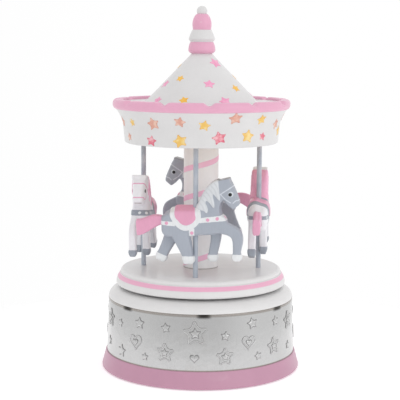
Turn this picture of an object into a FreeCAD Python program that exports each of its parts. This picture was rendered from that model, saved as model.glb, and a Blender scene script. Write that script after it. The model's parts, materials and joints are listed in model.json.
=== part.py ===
"""Carousel music box: a turning carousel on a round case that holds a wound musical movement.

Millimetres, +Z up, origin at the middle of the underside. The front horse stands at -Y.
Each piece is built by its own function and written to parts/ as one STEP file.
"""
import FreeCAD, Part
import math
import os

from FreeCAD import Vector

# Fits
glue_fit = 0.05
press_fit = 0.02
running_fit = 0.04
sliding_gap = 0.4

# Movement: crown wheel on the spring barrel, and the pinion that it drives
crown_teeth = 32
pinion_teeth = 8
crown_module = 1.0
crown_face_width = 2.6
crown_flange_thickness = 1.6
tooth_share = 0.36
tooth_addendum = 0.8
tooth_dedendum = 1.1
pressure_angle = 20.0

# Movement: mainspring barrel and winding arbor
barrel_step = 1.4
barrel_wall = 0.8
barrel_depth = 12.0
barrel_cap_thickness = 1.6
barrel_spigot_depth = 1.0
barrel_boss_radius = 4.4
barrel_boss_height = 2.6
arbor_radius = 2.0
arbor_hub_radius = 3.4
arbor_pivot_depth = 1.0
spring_thickness = 0.35
spring_turns = 7
spring_gap = 0.3

# Movement: pin cylinder and comb
cylinder_radius = 6.5
cylinder_length = 14.0
cylinder_wall = 1.2
cylinder_arbor_radius = 1.0
cylinder_clearance = 0.95
pin_height = 0.6
pin_side = 0.45
pins_per_note = 5
note_count = 18
comb_gap = 0.3
comb_thickness = 1.0
comb_slot_share = 0.3
comb_seat_depth = 6.5
comb_long_tooth = 6.0
comb_short_tooth = 3.4
comb_screw_count = 3

# Movement: governor train
train_module = 0.4
cylinder_wheel_teeth = 32
governor_pinion_teeth = 8
worm_wheel_teeth = 20
train_face_width = 1.2
governor_arbor_radius = 0.7
worm_pitch_radius = 1.6
worm_length = 6.0
worm_journal_radius = 0.6
shelf_thickness = 1.2
shelf_half_width = 1.6
vane_reach = 3.2
vane_height = 4.4
vane_thickness = 0.5
vane_hub_radius = 1.1

# Movement: bedplate, bearing uprights and screws
bedplate_thickness = 3.0
bedplate_margin = 2.5
bedplate_corner_radius = 3.0
upright_thickness = 1.4
upright_half_width = 3.6
bearing_wall = 2.4
screw_radius = 1.5
screw_head_radius = 2.8
screw_head_height = 1.8
small_screw_radius = 0.9
small_screw_head_radius = 1.6
small_screw_head_height = 1.0
frame_screw_radius = 0.5
frame_screw_head_radius = 0.85
frame_screw_head_height = 0.7
frame_foot_thickness = 1.2

# Case
movement_clearance = 1.9
case_wall_thickness = 5.0
case_taper = 1.2
case_headroom = 2.35
sleeve_thickness = 0.4
floor_thickness = 4.0
felt_thickness = 0.4
felt_width = 7.0
felt_inset = 1.2
plinth_height = 9.6
plinth_foot_ledge = 2.9
plinth_top_ledge = 0.7
plinth_rounding = 1.0
plinth_top_rounding = 0.5
plinth_spigot_height = 3.0
plinth_spigot_width = 8.0
floor_screw_count = 4
floor_screw_angle = 45.0
cover_thickness = 5.9
cover_edge_round = 9.0
cover_spigot_depth = 3.0
cover_spigot_width = 3.8

# Winding key, in the open recess under the floor board
key_clearance = 1.2
key_wing_reach = 11.5
key_wing_height = 8.4
key_wing_thickness = 2.2
key_shank_radius = 3.2
key_shank_play = 1.0
key_shank_entry = 1.2
key_hole_radius = 1.9

# Drive shaft, bush and hub
shaft_radius = 2.5
bush_wall = 2.0
bush_drop = 2.0
bush_flange_radius = 6.5
bush_flange_thickness = 0.6
washer_thickness = 0.5
hub_flange_radius = 10.0
hub_flange_thickness = 1.8
hub_boss_radius = 5.0
hub_boss_height = 3.2
hub_screw_count = 3
hub_screw_angle = 90.0
hub_screw_circle = 7.6

# Platform
hub_drop = 0.2
platform_thickness = 9.3
platform_margin = 10.7
platform_band_height = 6.7
platform_foot_ledge = 4.86
platform_foot_round = 1.5
platform_shoulder_height = 4.2
platform_shoulder_ledge = 4.1
platform_band_ledge = 2.6
platform_step = 0.4
platform_top_round = 1.6

# Column and poles
column_radius = 10.0
column_socket_depth = 2.2
column_tenon_radius = 5.0
pole_radius = 1.4
pole_circle_radius = 33.5
pole_socket_depth = 5.0
pole_top_depth = 3.0
horse_count = 4

# Horses
horse_headroom = 12.0
horse_lifts = (0.0, 0.8, 4.5, -1.0)
leg_spread = 3.4
saddle_thickness = 0.5
mane_thickness = 0.4

# Canopy and roof
board_margin = 7.9
board_thickness = 5.0
board_inset = 1.1
skirt_wall = 2.55
skirt_height = 19.3
skirt_straight_height = 10.4
skirt_lower_flare = 1.0
skirt_flare = 5.1
skirt_rounding = 0.9
skirt_flare_start = 4.5
skirt_top_width = 6.0
deck_thickness = 3.8
deck_margin = 3.6
rim_height = 5.5
rim_bulge = 1.75
rim_foot_height = 0.8
rim_widest_height = 3.0
rim_outer_round = 2.2
rim_inner_round = 0.9
rim_notch_count = 12
rim_notch_radius = 4.0
rim_notch_depth = 1.8
rim_notch_angle = -79.8
cone_base_radius = 32.3
cone_top_radius = 5.8
cone_height = 27.4

# Finial beads on their dowel
pin_radius = 1.5
pin_depth = 10.0
finial_base_height = 6.5
finial_base_radius = 7.7
finial_base_widest = 2.0
finial_base_foot = 0.4
finial_base_shoulder = 5.0
finial_neck_radius = 6.5
finial_collar_height = 6.9
finial_collar_radius = 7.5
finial_collar_widest = 1.6
finial_collar_shoulder = 1.4
finial_bulb_height = 8.9
finial_bulb_radius = 5.45
finial_bulb_widest = 3.2
finial_bulb_foot = 1.6
finial_bulb_shoulder = 7.3
finial_bulb_foot_radius = 5.1
finial_bulb_top_radius = 3.0
finial_ball_radius = 3.0
finial_ball_cut = 1.5

# Share of a corner that a rounded turn's handles reach, for a quarter of an ellipse
round_handle = 4.0 * (math.sqrt(2.0) - 1.0) / 3.0
# How full a horse's rounded section is: 0.71 would be an ellipse and 1 a rectangle
section_fullness = 0.87

origin = Vector(0, 0, 0)
up = Vector(0, 0, 1)


# General shapes


def straight(start, end):
    """Straight edge in the XZ plane between two (x, z) points."""
    return Part.makeLine(Vector(start[0], 0, start[1]), Vector(end[0], 0, end[1]))


def rounded(start, corner, end):
    """Quarter-ellipse edge from start to end, tangent to the lines that meet at corner."""
    poles = [start]
    for side in (start, end):
        poles.append(tuple(s + round_handle * (c - s) for s, c in zip(side, corner)))
    poles.append(end)
    curve = Part.BezierCurve()
    curve.setPoles([Vector(x, 0, z) for x, z in poles])
    return curve.toShape()


def outline(start, *steps):
    """Closed face in the XZ plane. A step is a point, or a (corner, end) pair for a rounded turn."""
    edges = []
    here = start
    for step in steps:
        if isinstance(step[0], tuple):
            corner, end = step
            edges.append(rounded(here, corner, end))
        else:
            end = step
            edges.append(straight(here, end))
        here = end
    edges.append(straight(here, start))
    return Part.Face(Part.Wire(edges))


def turned(start, *steps):
    """Solid turned about the Z axis from an outline of (radius, height) points."""
    return outline(start, *steps).revolve(origin, up, 360)


def rod(radius, bottom, top, x=0.0, y=0.0):
    """Upright cylinder."""
    return Part.makeCylinder(radius, top - bottom, Vector(x, y, bottom))


def tube(inner, outer, bottom, top):
    """Upright tube about the Z axis."""
    return rod(outer, bottom, top).cut(rod(inner, bottom, top))


def block(low, high):
    """Box between two corners."""
    sizes = [h - l for l, h in zip(low, high)]
    return Part.makeBox(*sizes, Vector(*low))


def joined(shapes):
    """One solid from several that overlap or touch."""
    shapes = list(shapes)
    return shapes[0].fuse(shapes[1:]).removeSplitter()


def turned_copy(shape, angle):
    """Copy of a shape turned about the Z axis."""
    copy = shape.copy()
    copy.rotate(origin, up, angle)
    return copy


def ring_of(shape, count, first_angle=0.0):
    """Copies of a shape spaced evenly about the Z axis."""
    return [turned_copy(shape, first_angle + k * 360.0 / count) for k in range(count)]


def laid_along_x(shape, x, y, z):
    """Copy of a shape made about the Z axis, laid along +X from the given point."""
    copy = shape.copy()
    copy.rotate(origin, Vector(0, 1, 0), 90)
    copy.translate(Vector(x, y, z))
    return copy


def screw(shank_radius, head_radius, head_height, tip, seat, x, y, head_up):
    """Plain screw: its shank runs from the tip to the seat, with its head beyond the seat."""
    if head_up:
        return joined([rod(shank_radius, tip, seat, x, y), rod(head_radius, seat, seat + head_height, x, y)])
    return joined([rod(shank_radius, seat, tip, x, y), rod(head_radius, seat - head_height, seat, x, y)])


def gear(teeth, module, width, tooth_angle):
    """Straight-flanked gear about the Z axis, with one tooth's middle at tooth_angle."""
    pitch_radius = teeth * module / 2
    slope = math.tan(math.radians(pressure_angle))
    half_pitch_width = tooth_share * math.pi * module / 2
    root = pitch_radius - tooth_dedendum * module
    tip = pitch_radius + tooth_addendum * module
    root_half = half_pitch_width + slope * tooth_dedendum * module
    tip_half = half_pitch_width - slope * tooth_addendum * module
    points = []
    for k in range(teeth):
        middle = math.radians(tooth_angle + k * 360.0 / teeth)
        for radius, half in ((root, -root_half), (tip, -tip_half), (tip, tip_half), (root, root_half)):
            angle = middle + math.asin(half / radius)
            points.append(Vector(radius * math.cos(angle), radius * math.sin(angle), 0))
    return Part.Face(Part.makePolygon(points + points[:1])).extrude(Vector(0, 0, width))


# Heights from the table up, and the radii that follow from the movement

felt_top = felt_thickness
plinth_top = felt_top + plinth_height
floor_bottom = plinth_top + plinth_spigot_height
floor_top = floor_bottom + floor_thickness
bedplate_top = floor_top + bedplate_thickness

crown_pitch_radius = crown_teeth * crown_module / 2
crown_inner_radius = crown_pitch_radius - crown_face_width / 2
crown_outer_radius = crown_inner_radius + crown_face_width
barrel_radius = crown_inner_radius - barrel_step
pinion_pitch_radius = pinion_teeth * crown_module / 2
axis_height = bedplate_top + cylinder_clearance + pin_height + cylinder_radius
crown_top = axis_height - pinion_pitch_radius - tooth_dedendum * crown_module
crown_bottom = crown_top - crown_flange_thickness
barrel_top = crown_top + barrel_depth
cap_top = barrel_top + barrel_cap_thickness
boss_top = cap_top + barrel_boss_height
pivot_top = barrel_top + arbor_pivot_depth

inner_upright = crown_outer_radius + sliding_gap
cylinder_start = inner_upright + upright_thickness + sliding_gap
cylinder_end = cylinder_start + cylinder_length
wheel_start = cylinder_end + sliding_gap
wheel_end = wheel_start + train_face_width
middle_upright = wheel_end + sliding_gap
worm_wheel_start = middle_upright + upright_thickness + sliding_gap
worm_wheel_end = worm_wheel_start + train_face_width
outer_upright = worm_wheel_end + sliding_gap
frame_end = outer_upright + upright_thickness
bedplate_end = frame_end + bedplate_margin / 2
bedplate_start = -crown_outer_radius - bedplate_margin
governor_y = (cylinder_wheel_teeth + governor_pinion_teeth) * train_module / 2
worm_wheel_radius = worm_wheel_teeth * train_module / 2
worm_x = (worm_wheel_start + worm_wheel_end) / 2
worm_y = governor_y + worm_wheel_radius + worm_pitch_radius
worm_pitch = math.pi * train_module
worm_core_radius = worm_pitch_radius - tooth_dedendum * train_module
worm_tip_radius = worm_pitch_radius + tooth_addendum * train_module
post_start = worm_y + worm_tip_radius + sliding_gap
post_end = post_start + upright_thickness
lower_shelf_top = axis_height - worm_length / 2 - sliding_gap
upper_shelf_bottom = axis_height + worm_length / 2 + sliding_gap
upper_shelf_top = upper_shelf_bottom + shelf_thickness
vane_bottom = upper_shelf_top + sliding_gap
vane_top = vane_bottom + vane_height
comb_tip = -(cylinder_radius + pin_height + comb_gap)
comb_seat_front = comb_tip - comb_long_tooth
comb_seat_back = comb_seat_front - comb_seat_depth
bedplate_low = comb_seat_back
bedplate_high = post_end + bedplate_margin / 2
movement_reach = math.hypot(bedplate_end, max(bedplate_high, -bedplate_low))

case_bore_radius = movement_reach + movement_clearance
case_top_radius = case_bore_radius + case_wall_thickness
case_bottom_radius = case_top_radius + case_taper
case_top = max(boss_top, vane_top) + case_headroom
sleeve_bottom_radius = case_bottom_radius + glue_fit + sleeve_thickness
sleeve_top_radius = case_top_radius + glue_fit + sleeve_thickness
plinth_top_radius = sleeve_bottom_radius + plinth_top_ledge
foot_radius = sleeve_bottom_radius + plinth_foot_ledge
spigot_radius = case_bore_radius - glue_fit
recess_radius = spigot_radius - plinth_spigot_width
floor_screw_circle = (recess_radius + spigot_radius) / 2
floor_hole_radius = key_shank_radius + key_shank_play

cover_top = case_top + cover_thickness
bush_radius = shaft_radius + bush_wall
bush_top = cover_top + bush_flange_thickness
washer_top = bush_top + washer_thickness
hub_flange_top = washer_top + hub_flange_thickness
hub_top = hub_flange_top + hub_boss_height
platform_bottom = washer_top + hub_drop
platform_top = platform_bottom + platform_thickness
platform_flat_radius = pole_circle_radius + platform_margin
platform_foot_radius = platform_flat_radius + platform_foot_ledge
platform_band_radius = platform_flat_radius + platform_band_ledge
platform_band_top = platform_bottom + platform_band_height


# Base


def felt_ring():
    """Felt ring glued under the plinth."""
    outer = foot_radius - plinth_rounding - felt_inset
    return tube(outer - felt_width, outer, 0, felt_top)


def plinth():
    """Turned ring that the case stands on, with a spigot inside the case and a recess for the key."""
    body = turned(
        (recess_radius, felt_top),
        (foot_radius - plinth_rounding, felt_top),
        ((foot_radius, felt_top), (foot_radius, felt_top + plinth_rounding)),
        (plinth_top_radius, plinth_top - plinth_top_rounding),
        ((plinth_top_radius, plinth_top), (plinth_top_radius - plinth_top_rounding, plinth_top)),
        (spigot_radius, plinth_top),
        (spigot_radius, floor_bottom),
        (recess_radius, floor_bottom),
    )
    head = rod(screw_head_radius + glue_fit, felt_top, felt_top + screw_head_height, floor_screw_circle)
    shank = rod(screw_radius + glue_fit, felt_top, floor_bottom, floor_screw_circle)
    return body.cut(ring_of(head.fuse(shank), floor_screw_count, floor_screw_angle))


def floor_screws():
    """Screws up through the plinth into the floor board, with sunk heads."""
    one = screw(
        screw_radius, screw_head_radius, screw_head_height,
        floor_top, felt_top + screw_head_height, floor_screw_circle, 0, False,
    )
    return Part.makeCompound(ring_of(one, floor_screw_count, floor_screw_angle))


def movement_screw_places():
    """Where the screws come up through the floor board into the bedplate."""
    inset = bedplate_margin + screw_head_radius
    left = bedplate_high - inset
    right = bedplate_low + inset
    return (
        (bedplate_start + inset, left),
        (bedplate_start + inset, right),
        ((cylinder_start + cylinder_end) / 2, left),
    )


def floor_board():
    """Round board on the plinth's spigot, which carries the movement."""
    board = rod(case_bore_radius - glue_fit, floor_bottom, floor_top)
    holes = [rod(floor_hole_radius, floor_bottom, floor_top)]
    screw_hole = rod(screw_radius + glue_fit, floor_bottom, floor_top, floor_screw_circle)
    holes += ring_of(screw_hole, floor_screw_count, floor_screw_angle)
    for x, y in movement_screw_places():
        holes.append(rod(screw_radius + glue_fit, floor_bottom, floor_top, x, y))
        holes.append(rod(screw_head_radius + glue_fit, floor_bottom, floor_bottom + screw_head_height, x, y))
    return board.cut(holes)


def movement_screws():
    """Screws that hold the bedplate down on the floor board, with sunk heads."""
    seat = floor_bottom + screw_head_height
    return Part.makeCompound([
        screw(screw_radius, screw_head_radius, screw_head_height, bedplate_top, seat, x, y, False)
        for x, y in movement_screw_places()
    ])


def case_wall():
    """Wooden drum, slightly tapered, that stands on the plinth round its spigot."""
    return turned(
        (case_bore_radius, plinth_top),
        (case_bottom_radius, plinth_top),
        (case_top_radius, case_top),
        (case_bore_radius, case_top),
    )


def silver_sleeve():
    """Thin metal band wrapped round the drum."""
    return turned(
        (case_bottom_radius + glue_fit, plinth_top),
        (sleeve_bottom_radius, plinth_top),
        (sleeve_top_radius, case_top),
        (case_top_radius + glue_fit, case_top),
    )


def top_cover():
    """Turned lid with a rounded edge, its spigot inside the drum and a hole for the bush."""
    spigot = case_bore_radius - glue_fit
    return turned(
        (bush_radius + glue_fit, case_top),
        (spigot - cover_spigot_width, case_top),
        (spigot - cover_spigot_width, case_top - cover_spigot_depth),
        (spigot, case_top - cover_spigot_depth),
        (spigot, case_top),
        (sleeve_top_radius, case_top),
        ((sleeve_top_radius, cover_top), (sleeve_top_radius - cover_edge_round, cover_top)),
        (bush_radius + glue_fit, cover_top),
    )


def shaft_bush():
    """Flanged bush in the cover, in which the drive shaft turns."""
    bore = shaft_radius + running_fit
    return turned(
        (bore, case_top - bush_drop),
        (bush_radius, case_top - bush_drop),
        (bush_radius, cover_top),
        (bush_flange_radius, cover_top),
        (bush_flange_radius, bush_top),
        (bore, bush_top),
    )


def thrust_washer():
    """Washer on the bush that the hub runs on."""
    return tube(shaft_radius + running_fit, bush_flange_radius, bush_top, washer_top)


# Movement, fixed pieces


def bearing_upright(x, half_width, y_mid):
    """Upright plate with a round top for an arbor along X."""
    low = (x, y_mid - half_width, bedplate_top)
    high = (x + upright_thickness, y_mid + half_width, axis_height)
    crown = laid_along_x(rod(half_width, 0, upright_thickness), x, y_mid, axis_height)
    return block(low, high).fuse(crown)


def arbor_bore(radius, y):
    """Running bore along X for an arbor at the cylinder's height."""
    return laid_along_x(rod(radius + running_fit, 0, bedplate_end), 0, y, axis_height)


def comb_screw_places():
    """Where the comb's screws stand along its seat."""
    pitch = cylinder_length / comb_screw_count
    middle = (comb_seat_front + comb_seat_back) / 2
    return [(cylinder_start + (k + 0.5) * pitch, middle) for k in range(comb_screw_count)]


def frame_screw_places():
    """Where the governor frame is screwed down, between its upright and the bedplate's."""
    step = worm_wheel_radius
    return [(worm_x, governor_y - step), (worm_x, governor_y + step)]


def bedplate():
    """Cast plate with a barrel boss, two bearing uprights and the comb's seat."""
    plate = block((bedplate_start, bedplate_low, floor_top), (bedplate_end, bedplate_high, bedplate_top))
    corners = [edge for edge in plate.Edges if edge.BoundBox.ZLength > bedplate_thickness / 2]
    plate = plate.makeFillet(bedplate_corner_radius, corners)
    boss = rod(arbor_radius + bearing_wall, floor_top, crown_bottom)
    seat = block(
        (cylinder_start, comb_seat_back, floor_top),
        (cylinder_end, comb_seat_front, axis_height - comb_thickness / 2),
    )
    inner = bearing_upright(inner_upright, upright_half_width, 0.0)
    middle = bearing_upright(middle_upright, upright_half_width, 0.0)
    governor_side = bearing_upright(middle_upright, bearing_wall, governor_y)
    bridge = block(
        (middle_upright, 0, bedplate_top),
        (middle_upright + upright_thickness, governor_y, axis_height),
    )
    holes = [rod(arbor_radius + running_fit, floor_top, crown_bottom)]
    holes.append(arbor_bore(cylinder_arbor_radius, 0.0))
    holes.append(arbor_bore(governor_arbor_radius, governor_y))
    for radius, places in (
        (screw_radius, movement_screw_places()),
        (small_screw_radius, comb_screw_places()),
        (frame_screw_radius, frame_screw_places()),
    ):
        holes += [rod(radius + glue_fit, floor_top, axis_height, x, y) for x, y in places]
    return joined([plate, boss, seat, inner, middle, governor_side, bridge]).cut(holes)


def comb():
    """Steel comb: one tuned tooth for each note, longest at the barrel end."""
    pitch = cylinder_length / note_count
    slot = pitch * comb_slot_share
    points = [
        (cylinder_start, comb_seat_back),
        (cylinder_end, comb_seat_back),
        (cylinder_end, comb_tip - comb_short_tooth),
    ]
    for k in reversed(range(note_count)):
        root = comb_tip - comb_long_tooth + (comb_long_tooth - comb_short_tooth) * k / (note_count - 1)
        right = cylinder_start + (k + 1) * pitch - slot / 2
        left = cylinder_start + k * pitch + slot / 2
        points += [(right, root), (right, comb_tip), (left, comb_tip), (left, root)]
    points.append((cylinder_start, comb_seat_front))
    corners = [Vector(x, y, axis_height - comb_thickness / 2) for x, y in points]
    plate = Part.Face(Part.makePolygon(corners + corners[:1])).extrude(Vector(0, 0, comb_thickness))
    reach = axis_height + comb_thickness
    holes = [rod(small_screw_radius + glue_fit, floor_top, reach, x, y) for x, y in comb_screw_places()]
    return plate.cut(holes)


def comb_screws():
    """Screws that clamp the comb on its seat."""
    seat = axis_height + comb_thickness / 2
    return Part.makeCompound([
        screw(
            small_screw_radius, small_screw_head_radius, small_screw_head_height,
            bedplate_top, seat, x, y, True,
        )
        for x, y in comb_screw_places()
    ])


def governor_frame():
    """Bracket with the governor arbor's outer bearing and two shelves for the worm's journals."""
    foot_start = middle_upright + upright_thickness + glue_fit
    foot_side = governor_y - worm_wheel_radius - bearing_wall
    foot_top = bedplate_top + frame_foot_thickness
    foot = block((foot_start, foot_side, bedplate_top), (frame_end, post_end, foot_top))
    bearing = bearing_upright(outer_upright, bearing_wall, governor_y)
    post = block((foot_start, post_start, bedplate_top), (frame_end, post_end, upper_shelf_top))
    shelves = []
    for bottom in (lower_shelf_top - shelf_thickness, upper_shelf_bottom):
        low = (worm_x - shelf_half_width, worm_y - shelf_half_width, bottom)
        high = (worm_x + shelf_half_width, post_end, bottom + shelf_thickness)
        shelves.append(block(low, high))
    holes = [arbor_bore(governor_arbor_radius, governor_y)]
    holes.append(rod(worm_journal_radius + running_fit, foot_top, vane_top, worm_x, worm_y))
    screw_bore = frame_screw_radius + glue_fit
    holes += [rod(screw_bore, bedplate_top, foot_top, x, y) for x, y in frame_screw_places()]
    return joined([foot, bearing, post] + shelves).cut(holes)


def governor_screws():
    """Screws that hold the governor frame on the bedplate."""
    seat = bedplate_top + frame_foot_thickness
    return Part.makeCompound([
        screw(
            frame_screw_radius, frame_screw_head_radius, frame_screw_head_height,
            floor_top + bedplate_thickness / 2, seat, x, y, True,
        )
        for x, y in frame_screw_places()
    ])


# Winder


def winding_arbor():
    """Stepped arbor: it winds the spring, and its lower end carries the key."""
    hub_bottom = crown_top + running_fit
    hub_top_height = barrel_top - barrel_spigot_depth - running_fit
    return joined([
        rod(arbor_radius, key_bore_bottom(), pivot_top - running_fit),
        rod(arbor_hub_radius, hub_bottom, hub_top_height),
    ])


def key_bore_bottom():
    """Height of the blind end of the key's bore."""
    return key_clearance + key_wing_height


def winding_key():
    """Wing key: a shank on the arbor and a flat wing with two finger holes."""
    lobe_radius = key_wing_height / 2
    lobe_height = key_clearance + lobe_radius
    lobe_x = key_wing_reach - lobe_radius
    half = key_wing_thickness / 2
    lobes = []
    holes = []
    for x in (-lobe_x, lobe_x):
        place = Vector(x, -half, lobe_height)
        lobes.append(Part.makeCylinder(lobe_radius, key_wing_thickness, place, Vector(0, 1, 0)))
        holes.append(Part.makeCylinder(key_hole_radius, key_wing_thickness, place, Vector(0, 1, 0)))
    waist = lobe_radius / 2
    bar = block((-lobe_x, -half, lobe_height - waist), (lobe_x, half, lobe_height + waist))
    shank_top = floor_bottom + key_shank_entry
    shank = rod(key_shank_radius, lobe_height, shank_top)
    bore = rod(arbor_radius + press_fit, key_bore_bottom(), shank_top)
    return joined(lobes + [bar, shank]).cut(holes + [bore])


# Cylinder and governor train


def cylinder_arbor():
    """Arbor that carries the pinion, the pin cylinder and the train's first wheel."""
    start = crown_inner_radius
    end = middle_upright + upright_thickness
    return laid_along_x(rod(cylinder_arbor_radius, 0, end - start), start, 0, axis_height)


def drive_pinion():
    """Pinion on the cylinder's arbor, driven by the crown wheel."""
    body = gear(pinion_teeth, crown_module, crown_face_width, 0)
    bore = rod(cylinder_arbor_radius + press_fit, 0, crown_face_width)
    return laid_along_x(body.cut(bore), crown_inner_radius, 0, axis_height)


def pin_cylinder():
    """Hollow brass cylinder with rows of pins, one row for each note."""
    inside = cylinder_radius - cylinder_wall
    bore = cylinder_arbor_radius + press_fit
    shell = turned(
        (bore, 0),
        (cylinder_radius, 0),
        (cylinder_radius, cylinder_length),
        (inside, cylinder_length),
        (inside, cylinder_wall),
        (bore, cylinder_wall),
    )
    end_disc = tube(bore, inside, cylinder_length - cylinder_wall, cylinder_length)
    pitch = cylinder_length / note_count
    golden_turn = 360.0 / ((1 + math.sqrt(5)) / 2)
    pins = []
    for note in range(note_count):
        middle = (note + 0.5) * pitch
        pin = block(
            (cylinder_radius - cylinder_wall / 2, -pin_side / 2, middle - pin_side / 2),
            (cylinder_radius + pin_height, pin_side / 2, middle + pin_side / 2),
        )
        for k in range(pins_per_note):
            pins.append(turned_copy(pin, (note * pins_per_note + k) * golden_turn))
    body = shell.fuse([end_disc] + pins)
    return laid_along_x(body, cylinder_start, 0, axis_height)


def cylinder_wheel():
    """Wheel at the cylinder's far end, which drives the governor."""
    body = gear(cylinder_wheel_teeth, train_module, train_face_width, 90)
    bore = rod(cylinder_arbor_radius + press_fit, 0, train_face_width)
    return laid_along_x(body.cut(bore), wheel_start, 0, axis_height)


def governor_arbor():
    """Arbor with a pinion cut in one piece, in the middle and outer uprights."""
    pinion = gear(governor_pinion_teeth, train_module, train_face_width, 270 + 180.0 / governor_pinion_teeth)
    shaft = rod(governor_arbor_radius, 0, frame_end - wheel_start)
    return laid_along_x(pinion.fuse(shaft), wheel_start, governor_y, axis_height)


def worm_wheel():
    """Wheel on the governor arbor, which turns the worm."""
    body = gear(worm_wheel_teeth, train_module, train_face_width, 90 + 180.0 / worm_wheel_teeth)
    bore = rod(governor_arbor_radius + press_fit, 0, train_face_width)
    return laid_along_x(body.cut(bore), worm_wheel_start, governor_y, axis_height)


def worm_shaft():
    """Upright worm with one thread, on two journals, which carries the vane at its top."""
    slope = math.tan(math.radians(pressure_angle))
    half_pitch_width = tooth_share * worm_pitch / 2
    root_half = half_pitch_width + slope * tooth_dedendum * train_module
    tip_half = half_pitch_width - slope * tooth_addendum * train_module
    bottom = axis_height - worm_length / 2
    top = axis_height + worm_length / 2
    # The thread starts at +X, three quarters of a turn before it meets the wheel's gap at -Y,
    # so one turn of the worm's length is left for that shift
    turns = math.floor((worm_length - 2 * root_half) / worm_pitch) - 1
    start = axis_height - (math.floor(turns / 2) + 0.75) * worm_pitch
    sunk_radius = (worm_core_radius + worm_journal_radius) / 2
    corners = [
        Vector(sunk_radius, 0, start - root_half),
        Vector(worm_tip_radius, 0, start - tip_half),
        Vector(worm_tip_radius, 0, start + tip_half),
        Vector(sunk_radius, 0, start + root_half),
    ]
    section = Part.makePolygon(corners + corners[:1])
    path = Part.makeHelix(worm_pitch, turns * worm_pitch, worm_core_radius)
    path.translate(Vector(0, 0, start))
    thread = Part.Wire(path).makePipeShell([section], True, True)
    journal = rod(worm_journal_radius, lower_shelf_top - shelf_thickness, vane_top)
    body = joined([rod(worm_core_radius, bottom, top), journal, thread])
    body.translate(Vector(worm_x, worm_y, 0))
    return body


def fly_vane():
    """Flat vane on a small hub, which slows the train by turning in air."""
    hub = rod(vane_hub_radius, vane_bottom, vane_top)
    half = vane_thickness / 2
    blade = block((-vane_reach, -half, vane_bottom), (vane_reach, half, vane_top))
    body = joined([hub, blade]).cut(rod(worm_journal_radius + press_fit, vane_bottom, vane_top))
    body.translate(Vector(worm_x, worm_y, 0))
    return body


# Spring barrel and drive shaft


def crown_tooth():
    """One upright tooth of the crown wheel, along +X."""
    slope = math.tan(math.radians(pressure_angle))
    half_pitch_width = tooth_share * math.pi * crown_module / 2
    height = (tooth_addendum + tooth_dedendum) * crown_module
    root_half = half_pitch_width + slope * tooth_dedendum * crown_module
    tip_half = half_pitch_width - slope * tooth_addendum * crown_module
    sunk = crown_flange_thickness / 2
    corners = [
        Vector(0, -root_half, crown_top - sunk),
        Vector(0, -root_half, crown_top),
        Vector(0, -tip_half, crown_top + height),
        Vector(0, tip_half, crown_top + height),
        Vector(0, root_half, crown_top),
        Vector(0, root_half, crown_top - sunk),
    ]
    tooth = Part.Face(Part.makePolygon(corners + corners[:1])).extrude(Vector(crown_outer_radius, 0, 0))
    return tooth.common(tube(crown_inner_radius, crown_outer_radius, crown_bottom, crown_top + height))


def spring_barrel():
    """Barrel for the mainspring, with the crown wheel round its foot."""
    inside = barrel_radius - barrel_wall
    bore = arbor_radius + running_fit
    can = turned(
        (bore, crown_bottom),
        (crown_outer_radius, crown_bottom),
        (crown_outer_radius, crown_top),
        (barrel_radius, crown_top),
        (barrel_radius, barrel_top),
        (inside, barrel_top),
        (inside, crown_top),
        (bore, crown_top),
    )
    return can.fuse(ring_of(crown_tooth(), crown_teeth, 180.0 / crown_teeth))


def mainspring():
    """Flat spring wound from half turns about two centres, from the arbor out to the barrel wall."""
    inside = barrel_radius - barrel_wall - spring_gap - spring_thickness / 2
    first = arbor_hub_radius + spring_gap + spring_thickness
    half_turns = 2 * spring_turns
    step = (inside - first) / half_turns
    bottom = crown_top + spring_gap
    edges = {}
    for side in (-1, 1):
        line = []
        for k in range(half_turns):
            centre = step / 2 * (1 if k % 2 else -1)
            radius = first + k * step + side * spring_thickness / 2
            facing = 1 if k % 2 == 0 else -1
            line.append(Part.Arc(
                Vector(centre + facing * radius, 0, bottom),
                Vector(centre, facing * radius, bottom),
                Vector(centre - facing * radius, 0, bottom),
            ).toShape())
        edges[side] = line
    first_end = Part.makeLine(edges[-1][0].Vertexes[0].Point, edges[1][0].Vertexes[0].Point)
    last_end = Part.makeLine(edges[-1][-1].Vertexes[-1].Point, edges[1][-1].Vertexes[-1].Point)
    loop = Part.Wire(Part.__sortEdges__(edges[-1] + edges[1] + [first_end, last_end]))
    height = barrel_top - barrel_spigot_depth - spring_gap - bottom
    return Part.Face(loop).extrude(Vector(0, 0, height))


def barrel_cap():
    """Lid of the barrel, with a socket for the drive shaft above the arbor's pivot."""
    inside = barrel_radius - barrel_wall
    body = turned(
        (0, barrel_top - barrel_spigot_depth),
        (inside - glue_fit, barrel_top - barrel_spigot_depth),
        (inside - glue_fit, barrel_top),
        (barrel_radius, barrel_top),
        (barrel_radius, cap_top),
        (barrel_boss_radius, cap_top),
        (barrel_boss_radius, boss_top),
        (0, boss_top),
    )
    pivot = rod(arbor_radius + running_fit, barrel_top - barrel_spigot_depth, pivot_top)
    socket = rod(shaft_radius + press_fit, cap_top, boss_top)
    return body.cut([pivot, socket])


def drive_shaft():
    """Shaft from the barrel up through the bush into the hub."""
    return rod(shaft_radius, cap_top, hub_top)


# Carousel


def hub_flange():
    """Metal hub on the drive shaft, screwed into the underside of the platform."""
    body = turned(
        (shaft_radius + press_fit, washer_top),
        (hub_flange_radius, washer_top),
        (hub_flange_radius, hub_flange_top),
        (hub_boss_radius, hub_flange_top),
        (hub_boss_radius, hub_top),
        (shaft_radius + press_fit, hub_top),
    )
    head_top = washer_top + small_screw_head_height
    head = rod(small_screw_head_radius + glue_fit, washer_top, head_top, hub_screw_circle)
    shank = rod(small_screw_radius + glue_fit, washer_top, hub_flange_top, hub_screw_circle)
    return body.cut(ring_of(head.fuse(shank), hub_screw_count, hub_screw_angle))


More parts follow.
